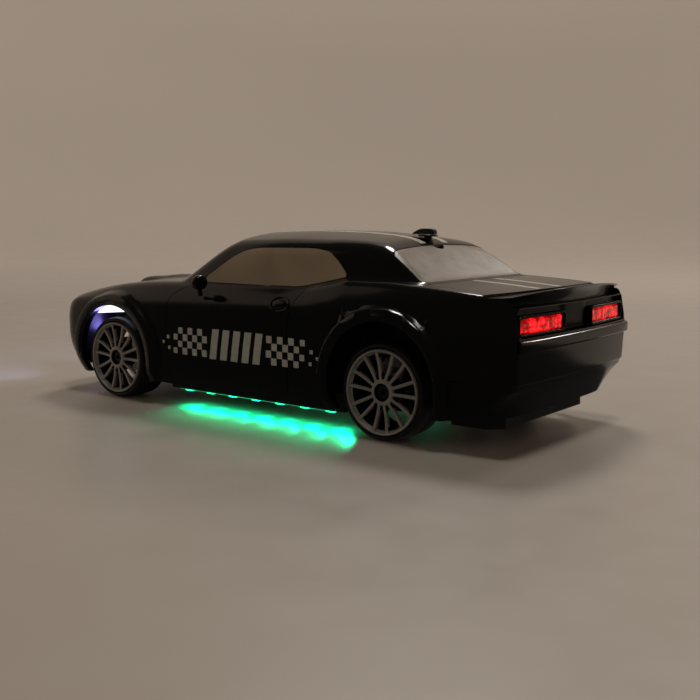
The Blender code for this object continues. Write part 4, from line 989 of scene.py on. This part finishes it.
def wheels():
    ring, hub, spokes = rim_parts()
    base = temp("rim_base", ring)
    boolean(base, [hub] + spokes, 'UNION')
    me0 = base.data
    co = np.zeros(len(me0.vertices) * 3)
    me0.vertices.foreach_get("co", co)
    rim = (co.reshape(-1, 3) * 1000, [tuple(p.vertices) for p in me0.polygons])
    bpy.data.objects.remove(base)
    tyre = turned([(41.2, 20.1), (40.3, 20.35), (39.7, 20.8), (39.5, 21.3), (39.75, 21.85), (40.4, 22.25), (41.4, 22.45),
                   (43.0, 22.5), (49.1, 22.5), (49.25, 22.44), (49.45, 22.44), (49.6, 22.5), (55.8, 22.5), (57.3, 22.45), (58.3, 22.25), (58.95, 21.85),
                   (59.2, 21.3), (59.2, 21.05), (59.05, 20.95), (59.05, 20.7), (58.9, 20.45), (58.5, 20.1)], 128)
    hexa = []
    for k in range(6):
        a = math.radians(60 * k + 12)
        hexa.append((1.55 * math.cos(a), 1.55 * math.sin(a)))
    for pos, sgn, yc, body in (("front_left", 1, YF, "front_wheel_left"), ("front_right", -1, YF, "front_wheel_right"),
                               ("rear_left", 1, YR, "rear_axle_set"), ("rear_right", -1, YR, "rear_axle_set")):
        V, F = placed(rim, sgn, yc)
        me = mesh("rim_%s_visual" % pos, V, F, 32)
        ob = put("rim_%s_visual" % pos, me, M["rim"], body, ("rim_" + pos,))
        # faces set back behind the rim's face and the hub hole take a dark material: painted shade in the recesses
        me.materials.append(M["barrel"])
        for p in me.polygons:
            c = p.center * 1000
            r = math.hypot(c.y - yc, c.z - HUB_Z)
            ax = c.x * sgn
            if ax < 57.6 and (r > 16.6 or r < 8.5) or ax < 56.9 or r < 4.3:
                p.material_index = 1
        put("tyre_%s_visual" % pos, mesh("tyre_%s_visual" % pos, *placed(tyre, sgn, yc), 50), M["tyre"], body,
            ("tyre_" + pos,))
        scr = capped([(53.4, 0.0), (53.4, 1.15), (54.55, 1.2), (54.6, 3.05), (54.85, 3.3), (57.2, 3.3), (57.65, 3.05), (57.8, 2.6), (57.8, 0.0)], 48)
        so = put("wheel_screw_%s_visual" % pos, mesh("s", *placed(scr, sgn, yc), smooth=False), M["screw"], body,
                 ("wheel_screw_" + pos,))
        rings = [np.array([(x * sgn, yc + a, HUB_Z + b) for a, b in hexa]) for x in (56.0, 59.5)]
        boolean(so, [loft(rings)])
        so.data.materials.clear()
        so.data.materials.append(M["screw"])
        sharpen(so.data, 35)


wheels()


# ------------------------------------------------- tail: panel, lamps, bar, spoiler
def bowed(xs, section, bow=None):
    rings = []
    for x in xs:
        rings.append(np.array([(x, y, z) for y, z in section(x)]))
    return loft(rings)


def frame_ring(x0, x1, z0, z1, y_in, y_out, w, r, bow, n=8):
    """Rounded rectangular bezel: outline in x,z, swept section of width w."""
    path = rounded_rect(x0, x1, z0, z1, r, n)
    cx, cz = (x0 + x1) / 2, (z0 + z1) / 2
    outer = np.array(path)
    # offset inwards along the outline's normals
    nrm = []
    m = len(path)
    for k in range(m):
        t = outer[(k + 1) % m] - outer[k - 1]
        nn = np.array([-t[1], t[0]])
        nn /= max(np.linalg.norm(nn), 1e-6)
        nrm.append(nn)
    nrm = np.array(nrm)
    prof = [(0.0, y_in), (0.0, y_out - 0.35), (0.12 * w, y_out - 0.08), (0.4 * w, y_out), (0.75 * w, y_out - 0.12), (w, y_out - 0.6), (w, y_in)]
    rings = []
    for k in range(m):
        rings.append(np.array([(outer[k][0] + nrm[k][0] * a, yy + bow(outer[k][0]), outer[k][1] + nrm[k][1] * a) for a, yy in prof]))
    V = np.concatenate(rings)
    q = len(prof)
    F = []
    for a in range(m):
        b = (a + 1) % m
        for i in range(q):
            j = (i + 1) % q
            F.append((a * q + i, a * q + j, b * q + j, b * q + i))
    return V, F


def lamp_lens(x0, x1, z0, z1, y_in, y_out, bow, ribs, sgn=1):
    """Lens block with a fluted face: rows of small prisms under a clear edge."""
    nx, nz = 61, 17
    xs = np.linspace(x0, x1, nx)
    zs = np.linspace(z0, z1, nz)
    V, F = [], []
    for j, z in enumerate(zs):
        for i, x in enumerate(xs):
            ex = min(x - x0, x1 - x, z - z0, z1 - z)
            edge = -0.8 * (1 - step(ex / 0.9))
            fac = 0.32 * abs(((i * ribs / (nx - 1)) % 1) - 0.5) + 0.24 * abs(((j * 3 / (nz - 1)) % 1) - 0.5)
            fac = fac if ex > 0.9 else 0
            V.append((x, y_out + sgn * (edge - fac) + bow(x), z))
    for z in zs:
        for x in xs:
            V.append((x, y_in + bow(x), z))
    n = nx * nz
    for j in range(nz - 1):
        for i in range(nx - 1):
            q = (j * nx + i, j * nx + i + 1, (j + 1) * nx + i + 1, (j + 1) * nx + i)
            F += [q, tuple(n + k for k in q[::-1])]
    ring = ([i for i in range(nx)] + [j * nx + nx - 1 for j in range(1, nz)] + [(nz - 1) * nx + i for i in range(nx - 2, -1, -1)]
            + [j * nx for j in range(nz - 2, 0, -1)])
    for k in range(len(ring)):
        p, q = ring[k], ring[(k + 1) % len(ring)]
        F.append((p, n + p, n + q, q))
    return V, F


def spoiler_section(x):
    a = (x / 55.0) ** 2
    yt, zt = 154.6 - 6.4 * a, 70.9 - 2.6 * a
    zd = 67.9 - 0.9 * a
    pts = [(yt - 13.5, 64.1), (yt - 6.0, 64.1), (yt - 2.7, 64.1), (yt - 2.5, 64.6)]
    for t in np.linspace(0, 1, 8)[1:]:      # concave rear face
        pts.append((yt - 2.5 + 2.4 * t ** 1.9, 64.6 + (zt - 0.35 - 64.6) * t))
    pts += [(yt - 0.02, zt - 0.1), (yt - 0.3, zt + 0.08), (yt - 0.8, zt + 0.05)]
    for t in np.linspace(0, 1, 9)[1:]:      # deck side
        yy = yt - 0.8 - 12.7 * t
        pts.append((yy, zt + (zd + 0.6 - zt) * (1 - (1 - t) ** 2.2)))
    return pts


def tail():
    # panel with a shallow centre plate and a bezel round each lamp
    xs = np.linspace(-53.6, 53.6, 61)

    def sec(x):
        c = 0.9 * (1 - step((abs(x) - 10.5) / 1.6))
        b = c + bow_t(x) + 1.3
        return [(148.9 + bow_t(x), 51.6), (149.0 + b, 51.6), (149.0 + b, 53.2), (149.2 + b, 53.6),
                (149.2 + b, 60.6), (149.0 + b, 61.0), (149.0 + b, 62.8), (148.9 + bow_t(x), 62.8)]
    ob = put("tail_panel_visual", mesh("tail_panel_visual", *bowed(xs, sec), 30), M["trim"], "shell", ("tail_panel",))
    for sgn, side in ((1, "left"), (-1, "right")):
        x0, x1 = sorted((15.4 * sgn, 50.4 * sgn))
        put("tail_lamp_%s_lens" % side, mesh("l", *lamp_lens(x0, x1, 52.9, 58.9, 150.8, 153.0, bow_t, 9), 25), M["lens_red"], "shell",
            ("tail_lamp_" + side,))
        a, b = sorted((13.2 * sgn, 52.8 * sgn))
        put("tail_lamp_bezel_" + side, mesh("b", *frame_ring(a, b, 51.5, 60.6, 149.7, 153.9, 1.4, 2.4, bow_t), 40), M["trim"], "shell")
    # bumper bar
    def bar(x):
        a = min(abs(x) / 57.5, 1.0)
        y = 156.5 - 1.6 * (x / 55) ** 2 - 1.2 * a ** 10
        yin = float(hit(np.array([[min(abs(x), 53.0), 110.0, 48.0]]), np.array([[0.0, 1.0, 0.0]]), 0, 0, 80)[0, 1]) + 0.3
        y = max(y, yin + 1.1)
        d = y - yin
        pts = [(yin, 45.3), (yin + 0.4 * d, 45.3), (y - 0.9, 45.35)]
        pts += [(y - 0.9 + 0.9 * math.sin(t), 46.25 - 0.9 * math.cos(t)) for t in np.radians([25, 50, 75, 90])]
        pts += [(y, 48.6)]
        pts += [(y - 1.3 + 1.3 * math.cos(t), 49.1 + 1.3 * math.sin(t)) for t in np.radians([0, 20, 40, 60, 80])]
        pts += [(y - 1.6, 50.4), (yin, 50.4)]
        return pts
    put("rear_bumper_bar_visual", mesh("bar", *bowed(np.linspace(-55, 55, 81), bar), 50), M["body"], "shell",
        ("rear_bumper_bar",))
    # ducktail: ends follow the shoulder plane
    xs = np.linspace(-54.6, 54.6, 71)
    rings = []
    for x in xs:
        rings.append(np.array([(x, y, z) for y, z in spoiler_section(x)]))
    put("rear_spoiler_visual", mesh("spoiler", *loft(rings), 38), M["body"], "shell", ("rear_spoiler",))
    put("tail_recess_lining", mesh("lining", *prism(rounded_rect(-53.9, 53.9, 51.3, 63.3, 2.4), 146.2, 146.9, 'XZ'), 40), M["inner"], "shell")


tail()


# ------------------------------------------------------- nose: grille and lamps
def nose():
    parts = [bowed(np.linspace(-32.5, 32.5, 41), lambda x: [(-151.4 + bow_n(x), 38.9), (-150.9 + bow_n(x), 38.9),
                                                             (-150.9 + bow_n(x), 49.9), (-151.4 + bow_n(x), 49.9)])]
    for k in range(5):
        z = 39.9 + k * 2.1
        parts.append(bowed(np.linspace(-32.4, 32.4, 41), lambda x: [(-152.6 + bow_n(x), z + 0.35), (-152.3 + bow_n(x), z + 0.75),
                                                                     (-151.3 + bow_n(x), z + 0.95), (-151.3 + bow_n(x), z - 0.05),
                                                                     (-152.4 + bow_n(x), z + 0.05)]))
    for s in (-1, 1):
        for x in (10.5, 21.5, 31.6):
            parts.append(prism([(s * x - 0.5, -152.5 + bow_n(x)), (s * x + 0.5, -152.5 + bow_n(x)), (s * x + 0.5, -151.2 + bow_n(x)),
                                (s * x - 0.5, -151.2 + bow_n(x))], 39.0, 49.8, 'XY'))
    put("front_grille_visual", mesh("grille", *merge(parts), 35), M["trim"], "shell", ("front_grille",))
    for sgn, side in ((1, "left"), (-1, "right")):
        x0, x1 = sorted((33.3 * sgn, 50.3 * sgn))
        nb = lambda x: bow_n(x) * 0.9
        put("headlamp_%s_lens" % side, mesh("h", *lamp_lens(x0, x1, 39.2, 49.6, -150.0, -152.3, nb, 6, -1), 25), M["lens_white"], "shell",
            ("headlamp_" + side,))
        a, b = sorted((33.0 * sgn, 50.6 * sgn))
        put("headlamp_bezel_" + side, mesh("b", *frame_ring(a, b, 38.9, 49.9, -149.4, -152.9, 0.9, 1.6, nb), 40), M["trim"], "shell")


nose()


# -------------------------------------------- mirrors, handles, lock knob, trims
def ellipsoid(c, r, n=28, m=18, squash=0.0):
    V, F = [], []
    for j in range(m + 1):
        t = math.pi * j / m
        for i in range(n):
            p = 2 * math.pi * i / n
            V.append((c[0] + r[0] * math.sin(t) * math.cos(p), c[1] + r[1] * math.sin(t) * math.sin(p), c[2] + r[2] * math.cos(t)))
    for j in range(m):
        for i in range(n):
            F.append((j * n + i, j * n + (i + 1) % n, (j + 1) * n + (i + 1) % n, (j + 1) * n + i))
    return V, F


def tube(P, r, n=12, cap=True):
    P = np.asarray(P, float)
    r = np.broadcast_to(r, len(P))
    T = np.gradient(P, axis=0)
    T /= np.linalg.norm(T, axis=1)[:, None]
    ref = np.array([0.0, 0.0, 1.0]) if abs(T[0][2]) < 0.8 else np.array([1.0, 0.0, 0.0])
    rings = []
    for p, t, q in zip(P, T, r):
        a = np.cross(t, ref)
        a /= np.linalg.norm(a)
        b = np.cross(t, a)
        rings.append(np.array([p + q * (a * math.cos(k) + b * math.sin(k)) for k in np.arange(n) * 2 * math.pi / n]))
    return loft(rings, cap)


def mirror_piece(sgn, side):
    """Rounded housing with a flat glass face to the rear and a curved stem."""
    n = 36
    rings = []
    c = np.array([62.2, -27.0, 67.6])
    for t, s in ((-2.6, 0.25), (-2.5, 0.55), (-2.2, 0.78), (-1.6, 0.93), (-0.8, 1.0), (0.4, 1.0), (1.2, 0.98), (1.9, 0.95), (2.15, 0.90), (2.2, 0.84),
                 (1.7, 0.82), (1.65, 0.4)):
        rings.append(np.array([(c[0] + 4.3 * s * math.cos(a), c[1] + t, c[2] + 3.9 * s * math.sin(a) * (1.0 if math.sin(a) > 0 else 0.92))
                               for a in np.arange(n) * 2 * math.pi / n]))
    V, F = loft(rings)
    st = tube(smooth_line([(58.4, -30.0, 61.0), (59.6, -29.4, 63.0), (60.9, -28.4, 64.6), (61.6, -27.6, 66.0)], 12), np.linspace(1.35, 0.95, 12), 16)
    V, F = merge([(V, F), st])
    V = np.array(V)
    V[:, 0] *= sgn
    return put("door_mirror_%s_visual" % side, mesh("m", V, F, 40), M["body"], "shell", ("door_mirror_" + side,))


def details():
    for sgn, side in ((1, "left"), (-1, "right")):
        mirror_piece(sgn, side)
        # door handle: shallow oval ring with a flap across it
        cy, cz = 24.3, 59.0
        ring, flap = [], []
        a = np.linspace(0, 2 * math.pi, 41)[:-1]
        P = side_point(cy + 5.9 * np.cos(a), cz + 3.3 * np.sin(a), 1, -0.1)
        N = gradient(P)
        k = len(a)
        sec = [(-0.5, 0.0), (-0.35, 0.35), (0.0, 0.5), (0.35, 0.35), (0.5, 0.0), (0.0, -0.4)]
        for i in range(k):
            t = P[(i + 1) % k] - P[i - 1]
            t /= np.linalg.norm(t)
            b = np.cross(t, N[i])
            ring.append(np.array([P[i] + b * u + N[i] * v for u, v in sec]))
        q = len(sec)
        V = np.concatenate(ring)
        F = [(i * q + j, i * q + (j + 1) % q, ((i + 1) % k) * q + (j + 1) % q, ((i + 1) % k) * q + j) for i in range(k) for j in range(q)]
        rows = []
        for s, h in ((1.0, -0.3), (1.0, 0.35), (0.93, 0.6), (0.8, 0.72), (0.4, 0.8), (0.05, 0.82)):
            p = side_point(cy + 4.8 * s * np.cos(a), cz + 1.5 * s * np.sin(a) + 0.5, 1)
            rows.append(p + gradient(p) * h)
        V, F = merge([(V, F), loft(rows)])
        V = np.array(V)
        V[:, 0] *= sgn
        put("door_handle_" + side, mesh("dh", V, F, 40), M["body"], "shell")
    # body lock: fin grip, round base and shaft
    Y = 71.5
    fin = []
    for x, k in ((-1.5, 0.93), (-1.25, 1.0), (1.25, 1.0), (1.5, 0.93)):
        pts = [(Y - 9.0, 92.7), (Y + 4.2, 91.8), (Y + 4.4, 93.4), (Y + 4.2, 94.6), (Y + 3.4, 95.2), (Y + 2.4, 95.42), (Y - 0.4, 95.5), (Y - 2.6, 95.5),
               (Y - 4.4, 95.2), (Y - 6.4, 94.3), (Y - 8.0, 93.5)]
        c = np.array([Y - 2.0, 93.4])
        fin.append(np.array([(x, *(c + (np.array(p) - c) * k)) for p in pts]))
    base = turned([(91.5, 0.01), (91.5, 4.6), (91.75, 5.0), (92.3, 5.0), (92.6, 4.75), (92.7, 4.3), (92.7, 0.01)], 64)
    shaft = turned([(80.0, 0.01), (80.0, 1.7), (80.4, 2.0), (92.0, 2.0), (92.0, 0.01)], 40)
    up = lambda vf: (np.stack([vf[0][:, 1], vf[0][:, 2] + Y, vf[0][:, 0]], 1), vf[1])
    ob = put("body_lock_knob_visual", mesh("k", *loft(fin), smooth=False), M["knob"], "body_lock", ("body_lock_knob",))
    boolean(ob, [up(base), up(shaft)], 'UNION')
    boolean(ob, [(np.array(prism([(Y + 1.4 + 0.9 * k - 4.9, 95.9), (Y + 1.4 + 0.9 * k - 4.5, 95.9), (Y + 1.4 + 0.9 * k - 4.7, 95.15)], -3, 3, 'YZ')[0]),
                  prism([(0, 0), (1, 0), (0, 1)], -3, 3, 'YZ')[1]) for k in range(6)])
    ob.data.materials.clear()
    ob.data.materials.append(M["knob"])
    sharpen(ob.data, 35)


details()


# ----------------------------------------------------------- underglow strips
def strips():
    for sgn, side in ((1, "left"), (-1, "right")):
        lo, hi = sorted((42.1 * sgn, 49.9 * sgn))
        put("underglow_board_" + side, mesh("s", *merge([box_vf(lo, hi, -56, 52, 8.1, 8.65)]), smooth=False), M["led_board"], "chassis",
            ("underglow_strip_" + side,))
        leds, bits = [], []
        for k in range(7):
            y = -51.0 + 16.4 * k
            c = 46.0 * sgn
            pts = rounded_rect(c - 2.5, c + 2.5, y - 2.5, y + 2.5, 0.5, 4)
            leds.append(prism(pts, 7.2, 8.15, 'XY'))
            for d in (5.6, 7.4):
                bits.append(box_vf(c - 0.8, c + 0.8, y + d, y + d + 0.9, 7.7, 8.15))
        put("underglow_leds_" + side, mesh("l", *merge(leds), 40), M["led_green"], "chassis")
        put("underglow_resistors_" + side, mesh("r", *merge(bits), smooth=False), M["trim"], "chassis")


strips()


# --------------------------------------------- wheel-arch liners as painted shade, arch plates as painted glow
def arch_shade_liners_and_glow():
    for sgn, side in ((1, "left"), (-1, "right")):
        # black liners and walls inside the arches: painted shade, dark sheets where the inside of the shell lies in
        # shade
        for tag, y0, z0, r in (("front", -98.0, 24.0, 32.3), ("rear", 86.0, 25.5, 31.2)):
            out = arc(y0, z0, r + 0.6, 0, 180, 40)
            inn = arc(y0, z0, r, 180, 0, 40)
            lo, hi = sorted((37.8 * sgn, 55.6 * sgn))
            put("arch_shade_liner_%s_%s" % (tag, side), mesh("al", *prism(out + inn, lo, hi, 'YZ'), 40), M["inner"], "shell")
        lo, hi = sorted((36.4 * sgn, 37.0 * sgn))
        seg = [p for p in arc(86.0, 25.5, 31.0, 18, 162, 36)]
        put("arch_shade_wall_rear_" + side, mesh("aw", *prism(seg, lo, hi, 'YZ'), 40), M["inner"], "shell")
        # glowing plate inside the front arch top: painted light, not a lamp
        lo, hi = sorted((53.6 * sgn, 54.2 * sgn))
        seg = arc(-98.0, 24.0, 30.4, 56, 134, 30)
        put("arch_painted_light_" + side, mesh("ag", *prism(seg, lo, hi, 'YZ'), 40), M["arch_glow"], "shell")


arch_shade_liners_and_glow()


# ------------------------------------------------- materials on CAD nodes
CAD_MATS = {"chassis_tray": "chassis", "battery_pack": "wrap", "battery_door": "chassis", "battery_door_screw": "steel",
            "receiver_board": "pcb", "drive_motor": "can", "steering_servo": "trim", "front_gearbox": "chassis",
            "rear_gearbox": "chassis", "front_arm_left": "chassis", "front_arm_right": "chassis", "lock_post": "chassis",
            "headlight_board": "pcb", "tail_light_board": "pcb", "power_switch": "knob", "motor_pinion": "brass",
            "centre_shaft": "steel", "spur_gear": "nylon", "rear_axle": "steel", "rear_crown_gear": "nylon",
            "front_output_shaft": "steel", "front_crown_gear": "nylon", "dogbone_left": "steel", "dogbone_right": "steel",
            "knuckle_left": "nylon", "knuckle_right": "nylon", "stub_axle_left": "steel", "stub_axle_right": "steel",
            "servo_horn": "nylon", "tie_bar": "chassis"}
for n, k in CAD_MATS.items():
    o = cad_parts[n]
    for s in o.material_slots:
        s.material = M[k]
    if not o.material_slots:
        o.data.materials.append(M[k])


# ------------------------------------------------------------ stage and light
def stage():
    prof = [(0.0, 0.0), (0.5, 0.0), (1.6, 0.0)] + [(1.6 + 0.9 * math.sin(t), 0.9 - 0.9 * math.cos(t)) for t in np.linspace(0.1, math.pi / 2, 14)] + [(2.5, 2.6)]
    n = 96
    V = [(0, 0, -0.0001)]
    F = []
    for r, z in prof[1:]:
        for i in range(n):
            a = 2 * math.pi * i / n
            V.append((r * math.cos(a), r * math.sin(a), z - 0.0001))
    for i in range(n):
        F.append((0, 1 + i, 1 + (i + 1) % n))
    for k in range(len(prof) - 2):
        for i in range(n):
            a, b = 1 + k * n, 1 + (k + 1) * n
            F.append((a + i, b + i, b + (i + 1) % n, a + (i + 1) % n))
    m, nt, b = nodes_of("floor_pale_painted_glow")
    f = noise(nt, 3.0, 3.0, 0.5)
    c = np.array(FLOOR_COL[:3])
    nt.links.new(ramp(nt, f, [(0.3, tuple(c * 0.97)), (0.7, tuple(c * 1.02))]), b.inputs["Base Color"])
    nt.links.new(remap(nt, noise(nt, 40.0, 4.0, 0.6), 0.3, 0.7, 0.34, 0.42), b.inputs["Roughness"])
    # painted light: the floor and backdrop glow by emission, brighter away from the middle
    painted_glow_dist = nt.nodes.new("ShaderNodeVectorMath")
    painted_glow_dist.operation = 'LENGTH'
    nt.links.new(obj_coord(nt), painted_glow_dist.inputs[0])
    nt.links.new(remap(nt, painted_glow_dist.outputs["Value"], 0.7, 2.6, 0.0, 0.235), b.inputs["Emission Strength"])
    b.inputs["Emission Color"].default_value = (1.0, 0.82, 0.66, 1)
    # two halves; the one on the camera's side is not mirrored in the paint
    look = np.array([0.785, 0.605])
    for name, near in (("floor_far", False), ("floor_near", True)):
        pick = []
        for q in F:
            g = np.mean([V[k][:2] for k in q], axis=0)
            if (float(g @ look) > 0) == near:
                pick.append(q)
        used = sorted({k for q in pick for k in q})
        at = {k: i for i, k in enumerate(used)}
        me = bpy.data.meshes.new(name)
        me.from_pydata([V[k] for k in used], [], [tuple(at[k] for k in q) for q in pick])
        me.shade_smooth()
        me.materials.append(m)
        ob = bpy.data.objects.new(name, me)
        bpy.context.scene.collection.objects.link(ob)
        if near:
            ob.visible_glossy = False


def area(name, loc, aim, size, energy, col=(1, 1, 1), size_y=None):
    l = bpy.data.lights.new(name, 'AREA')
    l.energy = energy
    l.color = col
    l.size = size
    if size_y:
        l.shape = 'RECTANGLE'
        l.size_y = size_y
    ob = bpy.data.objects.new(name, l)
    bpy.context.scene.collection.objects.link(ob)
    ob.location = loc
    d = Vector(aim) - Vector(loc)
    ob.rotation_euler = d.to_track_quat('-Z', 'Y').to_euler()
    return ob


def lights():
    w = bpy.data.worlds.new("world")
    bpy.context.scene.world = w
    w.use_nodes = True
    bg = w.node_tree.nodes["Background"]
    bg.inputs["Color"].default_value = (1.0, 0.93, 0.86, 1)
    bg.inputs["Strength"].default_value = 0.035
    bpy.context.scene.view_settings.view_transform = 'Standard'
    area("key_soft", (-0.9, -0.5, 1.5), (0, 0, 0.05), 0.35, 13.0, (1.0, 0.94, 0.88))
    area("top_soft", (0.1, 0.3, 1.7), (0, 0, 0), 0.28, 8.7, (1.0, 0.96, 0.90))
    area("back_left", (-1.4, 0.2, 0.9), (0, 0, 0.05), 0.25, 5.8, (1.0, 0.95, 0.9))
    # light strips and lamps
    for sgn in (1, -1):
        for k in range(7):
            y = -51.0 + 16.4 * k
            l = bpy.data.lights.new("glow_%d_%d" % (sgn, k), 'SPOT')
            l.energy = 0.085
            l.color = (0.0, 1.0, 0.42)
            l.spot_size = math.radians(84)
            l.spot_blend = 0.7
            l.shadow_soft_size = 0.002
            ob = bpy.data.objects.new(l.name, l)
            bpy.context.scene.collection.objects.link(ob)
            ob.location = (50.5 * MM * sgn, (y + 14.0) * MM, 8.6 * MM)
            ob.rotation_euler = Vector((sgn, 0, -0.80)).to_track_quat('-Z', 'Y').to_euler()
            l = bpy.data.lights.new("pool_%d_%d" % (sgn, k), 'SPOT')
            l.energy = 0.034
            l.color = (0.0, 1.0, 0.46)
            l.spot_size = math.radians(140)
            l.spot_blend = 1.0
            l.shadow_soft_size = 0.003
            ob = bpy.data.objects.new(l.name, l)
            bpy.context.scene.collection.objects.link(ob)
            ob.location = (51.5 * MM * sgn, (y + 8.0) * MM, 7.0 * MM)
    # blue-violet spill inside the front wheels
    for sgn in (1, -1):
        l = bpy.data.lights.new("arch_spill_%d" % sgn, 'POINT')
        l.energy = 0.008
        l.color = (0.30, 0.26, 1.0)
        l.shadow_soft_size = 0.004
        ob = bpy.data.objects.new(l.name, l)
        bpy.context.scene.collection.objects.link(ob)
        ob.location = (46.0 * MM * sgn, -126.0 * MM, 36 * MM)
    for sgn in (1, -1):
        l = bpy.data.lights.new("nose_%d" % sgn, 'SPOT')
        l.energy = 0.25
        l.color = (0.45, 0.5, 1.0)
        l.spot_size = math.radians(70)
        l.spot_blend = 1.0
        l.shadow_soft_size = 0.006
        ob = bpy.data.objects.new(l.name, l)
        bpy.context.scene.collection.objects.link(ob)
        ob.location = (44 * MM * sgn, -156 * MM, 44 * MM)
        ob.rotation_euler = Vector((0.15 * sgn, -1, -0.35)).to_track_quat('-Z', 'Y').to_euler()


stage()
lights()
